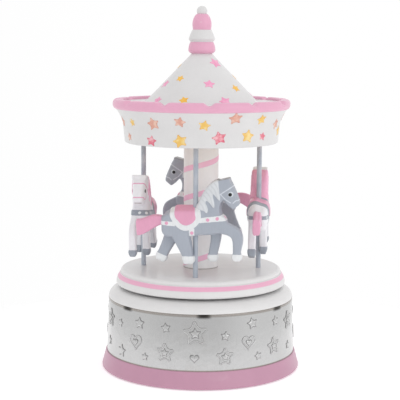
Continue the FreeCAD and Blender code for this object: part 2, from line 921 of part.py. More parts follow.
def hub_screws():
    """Screws up through the hub into the platform, with sunk heads."""
    one = screw(
        small_screw_radius, small_screw_head_radius, small_screw_head_height,
        hub_top, washer_top + small_screw_head_height, hub_screw_circle, 0, False,
    )
    return Part.makeCompound(ring_of(one, hub_screw_count, hub_screw_angle))


def pole_places(shape):
    """Copies of a shape made at the front pole, turned to each pole's place in turn."""
    return ring_of(shape, horse_count)


def platform():
    """Turned disc with a stepped edge, a hub pocket below and sockets for the column and poles above."""
    foot = platform_foot_radius
    foot_top = platform_bottom + platform_foot_round
    shoulder = platform_flat_radius + platform_shoulder_ledge
    shoulder_top = platform_bottom + platform_shoulder_height
    lip = platform_band_radius - platform_step
    body = turned(
        (0, platform_bottom),
        (foot - platform_foot_round, platform_bottom),
        ((foot, platform_bottom), (foot, foot_top)),
        ((foot, (foot_top + shoulder_top) / 2), (shoulder, shoulder_top)),
        (platform_band_radius, platform_band_top),
        (lip, platform_band_top),
        (lip, platform_top - platform_top_round),
        ((lip, platform_top), (platform_flat_radius, platform_top)),
        (0, platform_top),
    )
    holes = [
        rod(hub_flange_radius + glue_fit, platform_bottom, hub_flange_top),
        rod(hub_boss_radius + glue_fit, hub_flange_top, hub_top + glue_fit),
        rod(column_radius + glue_fit, platform_top - column_socket_depth, platform_top),
    ]
    screw_hole = rod(small_screw_radius + glue_fit, hub_flange_top, hub_top, hub_screw_circle)
    holes += ring_of(screw_hole, hub_screw_count, hub_screw_angle)
    socket_bottom = platform_top - pole_socket_depth
    pole_hole = rod(pole_radius + glue_fit, socket_bottom, platform_top, 0, -pole_circle_radius)
    holes += pole_places(pole_hole)
    return body.cut(holes)


def column():
    """Round centre post, in a socket in the platform and with a tenon through the canopy's board."""
    return joined([
        rod(column_radius, platform_top - column_socket_depth, board_bottom),
        rod(column_tenon_radius, board_bottom, board_top),
    ])


def front_pole():
    """Pole through the front horse, from the platform to the canopy's board."""
    bottom = platform_top - pole_socket_depth
    return rod(pole_radius, bottom, board_bottom + pole_top_depth, 0, -pole_circle_radius)


# Horse: rounded limbs lofted between pairs of edge points in the side view, x forward, z above the platform

torso_sections = (
    ((-18.6, 27.0), (-18.6, 32.6), 3.6),
    ((-17.2, 23.9), (-17.2, 35.4), 5.2),
    ((-12.0, 22.9), (-12.0, 38.2), 6.1),
    ((-4.0, 23.6), (-4.0, 38.6), 6.2),
    ((5.0, 24.2), (5.0, 39.0), 6.2),
    ((12.0, 25.0), (12.0, 37.4), 6.0),
    ((16.2, 26.6), (16.2, 34.0), 5.4),
    ((17.8, 28.0), (17.8, 32.0), 4.2),
)
neck_sections = (
    ((-0.5, 36.5), (16.0, 29.5), 5.6),
    ((1.6, 41.0), (14.4, 35.5), 5.3),
    ((3.8, 45.6), (13.9, 40.2), 5.0),
    ((6.8, 50.4), (15.4, 43.6), 4.9),
    ((10.2, 53.6), (17.8, 46.4), 4.9),
    ((13.4, 54.9), (20.2, 49.4), 4.8),
)
head_sections = (
    ((11.4, 52.0), (17.4, 55.2), 4.6),
    ((14.0, 46.4), (20.5, 52.2), 4.9),
    ((15.9, 43.2), (22.4, 48.0), 4.9),
    ((18.3, 40.6), (23.9, 44.4), 4.7),
    ((20.8, 38.8), (24.4, 41.6), 4.2),
)
tail_sections = (
    ((-15.5, 29.6), (-15.5, 33.6), 2.0),
    ((-20.0, 29.4), (-20.2, 34.6), 2.2),
    ((-24.6, 26.8), (-24.0, 34.3), 2.3),
    ((-29.2, 24.2), (-28.4, 32.7), 2.3),
    ((-32.4, 23.3), (-33.0, 31.8), 2.2),
)
outer_leg_sections = (
    (
        ((10.0, 25.6), (10.0, 34.2), 2.4),
        ((13.8, 25.4), (14.9, 33.2), 2.4),
        ((16.8, 24.9), (18.8, 31.1), 2.4),
        ((18.9, 24.1), (22.4, 29.3), 2.4),
        ((20.0, 23.2), (25.0, 27.2), 2.4),
    ),
    (
        ((20.0, 23.2), (25.0, 27.2), 2.4),
        ((20.6, 21.6), (26.3, 23.6), 2.4),
        ((20.9, 18.4), (26.1, 19.2), 2.4),
        ((21.0, 12.6), (25.2, 12.6), 2.4),
    ),
    (
        ((-15.0, 28.0), (-4.4, 28.0), 2.4),
        ((-12.2, 22.2), (-2.8, 22.8), 2.5),
        ((-9.2, 16.2), (-1.6, 16.6), 2.5),
        ((-6.7, 10.8), (-1.2, 11.2), 2.4),
    ),
)
inner_leg_sections = (
    (
        ((7.4, 28.0), (13.8, 28.0), 2.4),
        ((8.3, 22.5), (14.0, 23.0), 2.4),
        ((7.7, 17.2), (13.0, 17.4), 2.4),
        ((7.0, 12.4), (11.8, 12.4), 2.4),
    ),
    (
        ((-17.6, 28.5), (-8.0, 28.5), 2.4),
        ((-18.0, 22.6), (-10.4, 21.4), 2.5),
        ((-19.9, 17.2), (-13.4, 16.2), 2.5),
        ((-21.4, 13.6), (-16.2, 11.2), 2.4),
    ),
)
outer_hoof_sections = (
    (((20.8, 13.4), (25.4, 13.4), 2.5), ((20.2, 11.0), (26.1, 11.0), 2.9), ((20.9, 8.8), (25.5, 8.8), 2.5)),
    (((-7.0, 11.8), (-0.9, 11.8), 2.5), ((-7.2, 9.2), (0.1, 9.3), 2.9), ((-6.4, 6.4), (-0.8, 6.6), 2.5)),
)
inner_hoof_sections = (
    (((6.8, 13.0), (12.1, 13.0), 2.5), ((6.3, 10.9), (12.5, 10.9), 2.9), ((7.0, 8.9), (11.9, 8.9), 2.5)),
    (((-21.4, 14), (-16, 11.7), 2.5), ((-22.7, 12), (-16.3, 9.3), 2.9), ((-22.8, 9.9), (-18.1, 8), 2.5)),
)
ear_sections = (
    ((12.8, 51.6), (20.3, 52.0), 4.3),
    ((12.9, 53.4), (19.4, 54.2), 4.5),
    ((13.1, 54.8), (18.8, 56.2), 4.6),
)
blanket_points = (
    (-13.8, 37.6), (-12.8, 32.6), (-9.4, 28.4), (-4.6, 27.2), (0.2, 28.6),
    (3.4, 32.4), (4.4, 37.2), (2.8, 41.6), (-5.0, 42.0), (-12.0, 41.2),
)
seat_points = (
    (-10.9, 36.2), (-8.0, 31.8), (-4.4, 30.3), (-0.6, 31.8),
    (0.4, 36.4), (-1.4, 41.8), (-6.0, 42.2), (-10.4, 40.6),
)
mane_points = (
    (-1.5, 38.5), (3.4, 40.0), (6.9, 36.8), (7.0, 43.4), (10.4, 40.2),
    (9.9, 47.0), (13.4, 44.0), (13.0, 50.4), (14.4, 56.5), (6.0, 56.0), (-1.5, 46.0),
)
horse_side_reach = 10.0

horse_top = max(edge[1] for edge in ear_sections[-1][:2])
board_bottom = platform_top + horse_top + max(horse_lifts) + horse_headroom + board_inset
board_top = board_bottom + board_thickness
board_radius = pole_circle_radius + board_margin
skirt_bottom = board_bottom - board_inset
skirt_bore_radius = board_radius + glue_fit
skirt_radius = skirt_bore_radius + skirt_wall
skirt_top = skirt_bottom + skirt_height
skirt_top_radius = skirt_radius + skirt_flare
deck_top = skirt_top + deck_thickness
deck_radius = skirt_top_radius - deck_margin
rim_top = skirt_top + rim_height
cone_top = deck_top + cone_height
finial_base_top = cone_top + finial_base_height
finial_collar_top = finial_base_top + finial_collar_height
finial_bulb_top = finial_collar_top + finial_bulb_height
finial_ball_middle = finial_bulb_top + finial_ball_cut


def limb_section(low, high, half_width):
    """Rounded closed section between two edge points of the side view."""
    middle = Vector((low[0] + high[0]) / 2, 0, (low[1] + high[1]) / 2)
    depth = Vector((high[0] - low[0]) / 2, 0, (high[1] - low[1]) / 2)
    width = Vector(0, half_width, 0)
    full = section_fullness
    turns = ((1, 0), (full, full), (0, 1), (-full, full), (-1, 0), (-full, -full), (0, -1), (full, -full))
    curve = Part.BSplineCurve()
    curve.interpolate(
        Points=[middle + depth * a + width * b for a, b in turns],
        Parameters=[float(k) for k in range(len(turns) + 1)],
        PeriodicFlag=True,
    )
    return Part.Wire(curve.toShape())


def limb(sections, across=0.0):
    """Solid lofted through rounded sections, moved across the horse."""
    solid = Part.makeLoft([limb_section(*section) for section in sections], True, False)
    solid.translate(Vector(0, across, 0))
    return solid


def grown(sections, amount):
    """The same sections, larger by amount on every side."""
    larger = []
    for low, high, half_width in sections:
        length = math.dist(low, high)
        step = [amount * (h - l) / length for l, h in zip(low, high)]
        low = tuple(l - s for l, s in zip(low, step))
        high = tuple(h + s for h, s in zip(high, step))
        larger.append((low, high, half_width + amount))
    return larger


def side_prism(points, smooth):
    """Prism across the horse from a closed outline in the side view."""
    corners = [Vector(x, -horse_side_reach, z) for x, z in points]
    if smooth:
        curve = Part.BSplineCurve()
        curve.interpolate(Points=corners, PeriodicFlag=True)
        loop = Part.Wire(curve.toShape())
    else:
        loop = Part.makePolygon(corners + corners[:1])
    return Part.Face(loop).extrude(Vector(0, 2 * horse_side_reach, 0))


def horse():
    """Carved horse about its own pole: x forward, outer side at -y, heights above the platform."""
    whole_parts = (torso_sections, neck_sections, head_sections, ear_sections, tail_sections)
    pieces = [limb(sections) for sections in whole_parts]
    for across, legs, hooves in (
        (-leg_spread, outer_leg_sections, outer_hoof_sections),
        (leg_spread, inner_leg_sections, inner_hoof_sections),
    ):
        pieces += [limb(sections, across) for sections in legs + hooves]
    blanket = limb(grown(torso_sections, saddle_thickness)).common(side_prism(blanket_points, True))
    seat = limb(grown(torso_sections, 2 * saddle_thickness)).common(side_prism(seat_points, True))
    mane = limb(grown(neck_sections, mane_thickness)).common(side_prism(mane_points, False))
    body = pieces[0].fuse(pieces[1:] + [blanket, seat, mane])
    bore = rod(pole_radius + glue_fit, 0, 2 * horse_top)
    return body.cut(bore)


def placed_horse(carving, place):
    """The carving lifted and turned to its pole: 0 front, 1 right, 2 back, 3 left."""
    copy = carving.copy()
    copy.translate(Vector(0, -pole_circle_radius, platform_top + horse_lifts[place]))
    return turned_copy(copy, place * 360.0 / horse_count)


# Canopy and roof


def canopy_board():
    """Round board in the skirt that takes the pole tops and the column's tenon."""
    holes = [rod(column_tenon_radius + glue_fit, board_bottom, board_top)]
    pole_hole = rod(
        pole_radius + glue_fit, board_bottom, board_bottom + pole_top_depth, 0, -pole_circle_radius,
    )
    holes += pole_places(pole_hole)
    return rod(board_radius, board_bottom, board_top).cut(holes)


def canopy_skirt():
    """Flared band round the board, thin-walled, with a flat top for the deck and rim."""
    middle = skirt_bottom + skirt_straight_height
    lower_radius = skirt_radius + skirt_lower_flare
    flare_corner = lower_radius + skirt_lower_flare * skirt_flare_start / skirt_straight_height
    return turned(
        (skirt_bore_radius, skirt_bottom),
        (skirt_radius - skirt_rounding, skirt_bottom),
        ((skirt_radius, skirt_bottom), (skirt_radius, skirt_bottom + skirt_rounding)),
        (lower_radius, middle),
        ((flare_corner, middle + skirt_flare_start), (skirt_top_radius, skirt_top)),
        (skirt_top_radius - skirt_top_width, skirt_top),
        (skirt_bore_radius, middle),
    )


def canopy_deck():
    """Disc on the skirt, inside the rim, that carries the roof."""
    return rod(deck_radius - glue_fit, skirt_top, deck_top)


def canopy_rim():
    """Rounded rim on the skirt with small notches round its top."""
    outer = skirt_top_radius + rim_bulge
    body = turned(
        (deck_radius, skirt_top),
        (skirt_top_radius, skirt_top),
        ((outer, skirt_top + rim_foot_height), (outer, skirt_top + rim_widest_height)),
        ((outer, rim_top), (outer - rim_outer_round, rim_top)),
        (deck_radius + rim_inner_round, rim_top),
        ((deck_radius, rim_top), (deck_radius, rim_top - rim_inner_round)),
    )
    notch = laid_along_x(
        rod(rim_notch_radius, 0, outer + rim_bulge), 0, 0, rim_top + rim_notch_radius - rim_notch_depth,
    )
    return body.cut(ring_of(notch, rim_notch_count, rim_notch_angle))


def roof_cone():
    """Cone on the deck, bored at its tip for the finial's dowel."""
    body = turned((0, deck_top), (cone_base_radius, deck_top), (cone_top_radius, cone_top), (0, cone_top))
    return body.cut(rod(pin_radius + glue_fit, cone_top - pin_depth, cone_top))


def finial_base():
    """Lowest bead: a wide bead that narrows to a neck."""
    bore = pin_radius + glue_fit
    widest = finial_base_radius
    return turned(
        (bore, cone_top),
        (cone_top_radius, cone_top),
        ((widest, cone_top + finial_base_foot), (widest, cone_top + finial_base_widest)),
        ((widest, cone_top + finial_base_shoulder), (finial_neck_radius, finial_base_top)),
        (bore, finial_base_top),
    )


def finial_collar():
    """Second bead: a flared collar with a tapering shoulder."""
    bore = pin_radius + glue_fit
    widest = finial_base_top + finial_collar_widest
    return turned(
        (bore, finial_base_top),
        (finial_neck_radius, finial_base_top),
        (finial_collar_radius, widest),
        ((finial_collar_radius, widest + finial_collar_shoulder), (finial_bulb_radius, finial_collar_top)),
        (bore, finial_collar_top),
    )


def finial_bulb():
    """Third bead: an egg that narrows upwards."""
    bore = pin_radius + glue_fit
    bottom = finial_collar_top
    return turned(
        (bore, bottom),
        (finial_bulb_foot_radius, bottom),
        ((finial_bulb_radius, bottom + finial_bulb_foot), (finial_bulb_radius, bottom + finial_bulb_widest)),
        ((finial_bulb_radius, bottom + finial_bulb_shoulder), (finial_bulb_top_radius, finial_bulb_top)),
        (bore, finial_bulb_top),
    )


def finial_ball():
    """Ball on the very top, cut flat where it sits on the bulb."""
    ball = Part.makeSphere(finial_ball_radius, Vector(0, 0, finial_ball_middle))
    below = rod(2 * finial_ball_radius, finial_bulb_top - 2 * finial_ball_radius, finial_bulb_top)
    return ball.cut([below, rod(pin_radius + glue_fit, finial_bulb_top, finial_ball_middle)])


def finial_pin():
    """Dowel that strings the beads on the cone."""
    return rod(pin_radius, cone_top - pin_depth, finial_ball_middle)


# Export


def all_pieces():
    """Every piece by its name."""
    builders = (
        felt_ring, plinth, floor_screws, floor_board, movement_screws, case_wall, silver_sleeve, top_cover,
        shaft_bush, thrust_washer, bedplate, comb, comb_screws, governor_frame, governor_screws,
        winding_arbor, winding_key, cylinder_arbor, drive_pinion, pin_cylinder, cylinder_wheel,
        governor_arbor, worm_wheel, worm_shaft, fly_vane, spring_barrel, mainspring, barrel_cap, drive_shaft,
        hub_flange, hub_screws, platform, column, canopy_board, canopy_skirt, canopy_deck, canopy_rim,
        roof_cone, finial_base, finial_collar, finial_bulb, finial_ball, finial_pin,
    )
    pieces = {builder.__name__: builder() for builder in builders}
    carving = horse()
    pole_copies = pole_places(front_pole())
    for place, side in enumerate(("front", "right", "back", "left")):
        pieces["pole_" + side] = pole_copies[place]
        pieces["horse_" + side] = placed_horse(carving, place)
    return pieces


def main():
    """Write every piece to its own STEP file."""
    os.makedirs("parts", exist_ok=True)
    for name, shape in all_pieces().items():
        shape.exportStep(os.path.join("parts", name + ".step"))


main()
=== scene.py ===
"""Looks of the carousel music box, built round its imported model.

Metres, +Z up, origin at the middle of the underside; the front horse stands at -Y.
Angles are in degrees about Z, counter-clockwise seen from above, with 0 at +X.
"""
import json
import math

import bmesh
import bpy
import numpy as np
from mathutils import Matrix, Vector
from mathutils.bvhtree import BVHTree


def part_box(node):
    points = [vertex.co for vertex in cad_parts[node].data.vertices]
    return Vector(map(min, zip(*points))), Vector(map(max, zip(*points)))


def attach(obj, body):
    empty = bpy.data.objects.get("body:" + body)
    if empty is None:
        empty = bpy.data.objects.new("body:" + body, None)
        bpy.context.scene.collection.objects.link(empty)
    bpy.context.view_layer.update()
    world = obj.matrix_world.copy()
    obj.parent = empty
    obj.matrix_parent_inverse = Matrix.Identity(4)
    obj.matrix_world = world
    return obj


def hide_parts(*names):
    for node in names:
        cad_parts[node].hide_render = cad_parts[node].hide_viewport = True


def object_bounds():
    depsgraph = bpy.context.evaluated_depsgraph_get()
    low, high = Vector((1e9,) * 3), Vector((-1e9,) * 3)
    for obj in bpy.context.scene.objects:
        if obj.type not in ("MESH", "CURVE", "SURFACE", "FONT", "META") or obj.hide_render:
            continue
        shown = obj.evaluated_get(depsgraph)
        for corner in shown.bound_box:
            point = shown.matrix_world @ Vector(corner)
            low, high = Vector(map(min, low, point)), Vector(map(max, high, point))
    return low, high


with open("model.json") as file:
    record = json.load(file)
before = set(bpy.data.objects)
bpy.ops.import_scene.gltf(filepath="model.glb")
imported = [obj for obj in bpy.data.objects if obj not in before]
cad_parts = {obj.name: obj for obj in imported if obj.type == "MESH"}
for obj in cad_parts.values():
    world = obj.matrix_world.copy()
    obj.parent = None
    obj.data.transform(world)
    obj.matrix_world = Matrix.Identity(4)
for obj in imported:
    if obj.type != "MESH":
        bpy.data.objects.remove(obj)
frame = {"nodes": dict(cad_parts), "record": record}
cad_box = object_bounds()
nodes = frame["nodes"]
MM = 0.001


# Colours


def rgb(red, green, blue):
    """Linear colour with alpha from screen values of 0 to 255."""
    linear = []
    for value in (red, green, blue):
        share = value / 255.0
        linear.append(share / 12.92 if share <= 0.04045 else ((share + 0.055) / 1.055) ** 2.4)
    return (*linear, 1.0)


def grey(level):
    """Linear grey with alpha."""
    return (level, level, level, 1.0)


def shaded(colour, factor):
    """The same colour, darker or lighter by a factor."""
    return (*(min(channel * factor, 1.0) for channel in colour[:3]), 1.0)


white = rgb(222, 221, 221)
worn_white = rgb(244, 240, 238)
# Lighter copy of the white paint, as painted light against the canopy's shade on the column
column_white_lightened_for_shade = rgb(249, 249, 250)
# Painted contact shadow where the column stands on the platform
contact_shadow_grey = rgb(150, 143, 138)
# Lighter copy of the pink paint, as painted light against the canopy's shade on the spiral
spiral_pink_lightened_for_shade = rgb(255, 200, 226)
pink = rgb(232, 172, 198)
mauve = rgb(189, 141, 163)
pole_grey = rgb(160, 170, 184)

silver_bright = rgb(194, 194, 194)
silver_stain = rgb(182, 179, 176)
# Painted shade under the cover and over the plinth, and dark painted reflections streaked round the band
seam_shade_brown = rgb(128, 116, 104)
streak_reflection_black = rgb(48, 45, 43)
# Painted shade along the borders of the band's pressed relief
crease_shade_grey = rgb(84, 83, 82)
steel_grey = rgb(196, 198, 202)
spring_blue = rgb(120, 128, 146)
brass_yellow = rgb(222, 184, 110)
cast_grey = rgb(176, 178, 180)

wood_light = rgb(222, 194, 156)
wood_dark = rgb(190, 155, 113)
wood_fleck = rgb(140, 103, 70)
felt_dark = rgb(120, 112, 116)
felt_light = rgb(170, 162, 166)
nylon_light = rgb(232, 226, 210)
nylon_dark = rgb(214, 206, 188)
floor_light = rgb(252, 252, 252)
floor_dark = rgb(249, 249, 250)

coat_grey = rgb(166, 172, 183)
coat_white = rgb(234, 233, 237)
hoof_grey = rgb(152, 158, 168)
crown_grey = shaded(coat_grey, 0.6)
bridle_grey = rgb(205, 210, 219)
ring_grey = rgb(206, 212, 219)
trim_white = rgb(229, 231, 233)
mane_white = rgb(216, 219, 223)
# Lighter copy of the saddle's pink, as painted light against the shade on the mane
mane_pink_lightened_for_shade = rgb(241, 176, 205)
saddle_pink = rgb(226, 162, 190)
mouth_brown = rgb(178, 168, 168)
eye_black = rgb(12, 12, 13)

# Washes of the printed stars: pale, full and gathered pigment
star_washes = {
    "yellow": (rgb(246, 220, 156), rgb(240, 196, 104), rgb(226, 158, 62)),
    "salmon": (rgb(236, 198, 180), rgb(223, 165, 147), rgb(202, 130, 116)),
    "red": (rgb(243, 190, 196), rgb(228, 122, 140), rgb(206, 66, 98)),
    "pink": (rgb(247, 178, 208), rgb(243, 160, 196), rgb(232, 140, 182)),
    "gold": (rgb(250, 200, 96), rgb(247, 190, 72), rgb(240, 176, 62)),
}


# Shader building


def new_material(name):
    """Material with a principled shader; returns it, its node tree and the shader."""
    material = bpy.data.materials.new(name)
    material.use_nodes = True
    return material, material.node_tree, material.node_tree.nodes["Principled BSDF"]


def connect(tree, value, socket):
    """Link a node's output to a socket, or set the socket's own value."""
    if isinstance(value, bpy.types.NodeSocket):
        tree.links.new(value, socket)
    else:
        socket.default_value = value


def fill(tree, node, **inputs):
    """Link or set a node's named sockets, with an underscore for each space in a name."""
    for key, value in inputs.items():
        connect(tree, value, node.inputs[key.replace("_", " ")])


def add(tree, kind, **inputs):
    """New node of a kind, with its named sockets linked or set."""
    node = tree.nodes.new(kind)
    fill(tree, node, **inputs)
    return node


def object_place(tree, stretch=(1.0, 1.0, 1.0)):
    """Place on the object in metres, stretched along each axis."""
    place = tree.nodes.new("ShaderNodeTexCoord").outputs["Object"]
    return add(tree, "ShaderNodeMapping", Vector=place, Scale=stretch).outputs["Vector"]


def split(tree, vector):
    """The three parts of a vector, by the names of the axes."""
    return add(tree, "ShaderNodeSeparateXYZ", Vector=vector).outputs


def noise(tree, place, scale, detail=3.0, roughness=0.55):
    """Noise about a half, with a grain of about one over scale metres."""
    node = add(tree, "ShaderNodeTexNoise", Vector=place, Scale=scale, Detail=detail, Roughness=roughness)
    return node.outputs["Fac"]


def ranged(tree, value, span, result=(0.0, 1.0)):
    """Smooth step of a value over a span, from the first result to the second."""
    node = add(
        tree, "ShaderNodeMapRange", Value=value,
        From_Min=span[0], From_Max=span[1], To_Min=result[0], To_Max=result[1],
    )
    node.interpolation_type = "SMOOTHSTEP"
    return node.outputs["Result"]


def maths(tree, operation, first, second):
    """Arithmetic of two values."""
    node = tree.nodes.new("ShaderNodeMath")
    node.operation = operation
    connect(tree, first, node.inputs[0])
    connect(tree, second, node.inputs[1])
    return node.outputs[0]


def total(tree, first, second):
    """Sum of two values."""
    return maths(tree, "ADD", first, second)


def product(tree, first, second):
    """Product of two values."""
    return maths(tree, "MULTIPLY", first, second)


def centred(tree, value, width):
    """Noise moved about zero and scaled to a width."""
    return product(tree, maths(tree, "SUBTRACT", value, 0.5), width)


def mixed(tree, share, first, second, blend="MIX"):
    """Colour between two colours."""
    node = tree.nodes.new("ShaderNodeMix")
    node.data_type = "RGBA"
    node.blend_type = blend
    connect(tree, share, node.inputs["Factor"])
    connect(tree, first, node.inputs[6])
    connect(tree, second, node.inputs[7])
    return node.outputs[2]


def bumped(tree, shader, height, distance):
    """Surface relief of a height value, with its depth in metres."""
    bump = add(tree, "ShaderNodeBump", Strength=1.0, Distance=distance, Height=height)
    fill(tree, shader, Normal=bump.outputs["Normal"])


def attribute(tree, name):
    """Value that a mesh stores at its points."""
    node = tree.nodes.new("ShaderNodeAttribute")
    node.attribute_name = name
    return node.outputs["Fac"]


def moved(span, base):
    """Span of values moved up by a base value."""
    return span[0] + base, span[1] + base


def edge_mask(tree):
    """How much a point stands on a convex edge."""
    pointed = tree.nodes.new("ShaderNodeNewGeometry").outputs["Pointiness"]
    return ranged(tree, pointed, worn_edge)


# Materials. Noise lies mostly in the middle range

middle_range = (0.3, 0.7)

# Paint: shares of its clouds, worn edges and specks, and spans of roughness about the one asked for
cloudiness = 0.10
worn_edge = (0.53, 0.6)
worn_patches = (0.35, 0.7)
least_wear = 0.2
brush_range = (0.25, 0.75)
brush_roughness = (-0.06, 0.08)
speck_height = 0.4

# Metal: unevenness of its polish, and shades of clean and stained places
drawn_unevenness = 0.16
stain_unevenness = 0.10
stain_range = (0.35, 0.75)
clean_shade = 1.06
stained_shade = 0.84

# Silver sheet: stains, polish and heights of its dents and grain
silver_stain_range = (0.5, 0.8)
silver_stain_share = 0.35
rolled_stretch = (1.0, 1.0, 0.08)
rolled_range = (0.2, 0.8)
silver_roughness = (0.16, 0.24)
dent_height = 2.5
grain_height = 0.12
silver_depth = 0.05 * MM

# Painted contact shadow at the column's foot, which fades over a span of height from the platform's top
contact_shadow_span = (0.3 * MM, 0.7 * MM)
contact_shadow_share = 0.85

# Painted shade and dark painted reflections on the silver band, which fade over spans of height from its
# top or its foot, and painted shade along the borders of its relief
seam_shade_span = (-2.0 * MM, -0.9 * MM)
seam_shade_share = 0.6
foot_shade_span = (0.3 * MM, 0.9 * MM)
foot_shade_share = 0.75
streaks = 7
streak_angle = -83.0
streak_span = (-2.9 * MM, -1.3 * MM)
streak_cosines = (0.8, 1.0)
streak_share = 0.95
# Painted shade along the relief's borders
crease_borders = (0.62, 0.98)
crease_share = 0.75

# The floor fades into the studio between these distances from the middle
floor_fade = (0.11, 0.21)
floor_glow = 0.3


def brush_paint(
    tree, shader, colour,
    roughness=0.42, streak=(1.0, 1.0, 0.25), relief=0.03 * MM, wear=0.3, strokes=0.07,
):
    """Brushed satin paint: cloudy colour, streaks of the brush, worn edges and uneven gloss."""
    place = object_place(tree)
    cloud = noise(tree, place, scale=90.0, detail=4.0)
    brush = noise(tree, object_place(tree, streak), scale=900.0, detail=4.0, roughness=0.7)
    speck = noise(tree, place, scale=2600.0, detail=2.0)
    tint = total(tree, product(tree, cloud, cloudiness), product(tree, brush, strokes))
    tint = total(tree, tint, 1.0 - (cloudiness + strokes) / 2)
    tint = add(tree, "ShaderNodeCombineColor", Red=tint, Green=tint, Blue=tint).outputs["Color"]
    varied = mixed(tree, 1.0, colour, tint, "MULTIPLY")
    patchy = ranged(tree, cloud, worn_patches, (least_wear * wear, wear))
    worn = product(tree, edge_mask(tree), patchy)
    fill(
        tree, shader,
        Base_Color=mixed(tree, worn, varied, worn_white),
        Roughness=ranged(tree, brush, brush_range, moved(brush_roughness, roughness)),
        Specular_IOR_Level=0.4, Coat_Weight=0.3, Coat_Roughness=0.16,
    )
    bumped(tree, shader, total(tree, product(tree, speck, speck_height), brush), relief)


def paint(name, colour, **finish):
    """Brushed paint of one colour."""
    material, tree, shader = new_material(name)
    brush_paint(tree, shader, colour, **finish)
    return material


def column_paint():
    """White paint, lightened as painted light against the canopy's shade, with a painted contact shadow
    where the column stands on the platform.
    """
    material, tree, shader = new_material("column_white_lightened_for_shade")
    height = split(tree, object_place(tree))["Z"]
    contact_shadow = ranged(tree, height, moved(contact_shadow_span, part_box("platform")[1].z), (contact_shadow_share, 0.0))
    brush_paint(tree, shader, mixed(tree, contact_shadow, column_white_lightened_for_shade, contact_shadow_grey), roughness=0.45)
    return material


def metal(name, colour, roughness, streak, relief):
    """Metal with drawn streaks, faint stains and uneven polish."""
    material, tree, shader = new_material(name)
    drawn = noise(tree, object_place(tree, streak), scale=1800.0, detail=4.0, roughness=0.65)
    stain = noise(tree, object_place(tree), scale=120.0, detail=5.0)
    stained = ranged(tree, stain, stain_range)
    uneven = total(tree, product(tree, drawn, drawn_unevenness), product(tree, stain, stain_unevenness))
    fill(
        tree, shader, Metallic=1.0,
        Base_Color=mixed(tree, stained, shaded(colour, clean_shade), shaded(colour, stained_shade)),
        Roughness=total(tree, uneven, roughness - (drawn_unevenness + stain_unevenness) / 2),
    )
    bumped(tree, shader, drawn, relief)
    return material


def silver_sheet(name, painted_darkenings):
    """Polished silver sheet, softly rolled; painted_darkenings gives each painted shade or painted
    reflection with its share.
    """
    material, tree, shader = new_material(name)
    place = object_place(tree)
    rolled = noise(tree, object_place(tree, rolled_stretch), scale=1400.0, detail=4.0, roughness=0.7)
    dent = noise(tree, place, scale=130.0, detail=2.0)
    grain = noise(tree, place, scale=5200.0, detail=2.0)
    stain = noise(tree, place, scale=60.0, detail=5.0)
    stained = ranged(tree, stain, silver_stain_range, (0.0, silver_stain_share))
    tone = mixed(tree, stained, silver_bright, silver_stain)
    for share, darkening_tone in painted_darkenings(tree):
        tone = mixed(tree, share, tone, darkening_tone)
    fill(
        tree, shader, Metallic=1.0, Base_Color=tone,
        Roughness=ranged(tree, rolled, rolled_range, silver_roughness),
    )
    height = total(tree, product(tree, dent, dent_height), product(tree, grain, grain_height))
    bumped(tree, shader, height, silver_depth)
    return material


def painted_seam_shade(tree):
    """Painted shade: brown lines under the cover and over the plinth; and dark painted reflections in
    streaks at even places round the band.
    """
    place = split(tree, object_place(tree))
    bottom, top = (corner.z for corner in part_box("silver_sleeve"))
    angle = maths(tree, "ARCTAN2", place["Y"], place["X"])
    turn = product(tree, maths(tree, "SUBTRACT", angle, math.radians(streak_angle)), float(streaks))
    near = ranged(tree, maths(tree, "COSINE", turn, 0.0), streak_cosines)
    seam = ranged(tree, place["Z"], moved(seam_shade_span, top), (0.0, seam_shade_share))
    foot = ranged(tree, place["Z"], moved(foot_shade_span, bottom), (foot_shade_share, 0.0))
    streak = ranged(tree, place["Z"], moved(streak_span, top), (0.0, streak_share))
    return (seam, seam_shade_brown), (foot, seam_shade_brown), (product(tree, near, streak), streak_reflection_black)


def crease_painted_shade(tree):
    """Painted shade, dark along the borders of the pressed relief."""
    share = ranged(tree, attribute(tree, "border"), crease_borders, (0.0, crease_share))
    return ((share, crease_shade_grey),)


def bare_wood():
    """Pale beech with long grain and small dark flecks."""
    material, tree, shader = new_material("bare_wood")
    grain = noise(tree, object_place(tree, (1.0, 0.12, 1.0)), scale=700.0, detail=6.0, roughness=0.6)
    fleck = noise(tree, object_place(tree, (1.0, 0.3, 1.0)), scale=2600.0, detail=2.0)
    tone = mixed(tree, ranged(tree, grain, middle_range), wood_light, wood_dark)
    tone = mixed(tree, ranged(tree, fleck, (0.66, 0.75), (0.0, 0.5)), tone, wood_fleck)
    fill(tree, shader, Base_Color=tone, Roughness=ranged(tree, grain, middle_range, (0.55, 0.7)))
    bumped(tree, shader, grain, 0.05 * MM)
    return material


def felt():
    """Matted grey felt with lighter fibres."""
    material, tree, shader = new_material("felt")
    fibres = noise(tree, object_place(tree), scale=1500.0, detail=6.0, roughness=0.8)
    tone = mixed(tree, ranged(tree, fibres, (0.35, 0.65)), felt_dark, felt_light)
    fill(tree, shader, Base_Color=tone, Roughness=0.95, Sheen_Weight=0.4)
    bumped(tree, shader, fibres, 0.25 * MM)
    return material


def nylon():
    """Moulded ivory nylon with a faint sheen and flow marks."""
    material, tree, shader = new_material("nylon")
    flow = noise(tree, object_place(tree, (1.0, 1.0, 0.4)), scale=500.0, detail=3.0)
    fill(
        tree, shader,
        Base_Color=mixed(tree, flow, nylon_light, nylon_dark),
        Roughness=ranged(tree, flow, middle_range, (0.38, 0.5)),
        Subsurface_Weight=0.1, Subsurface_Radius=(1.0 * MM, 1.0 * MM, 0.8 * MM),
    )
    bumped(tree, shader, flow, 0.02 * MM)
    return material


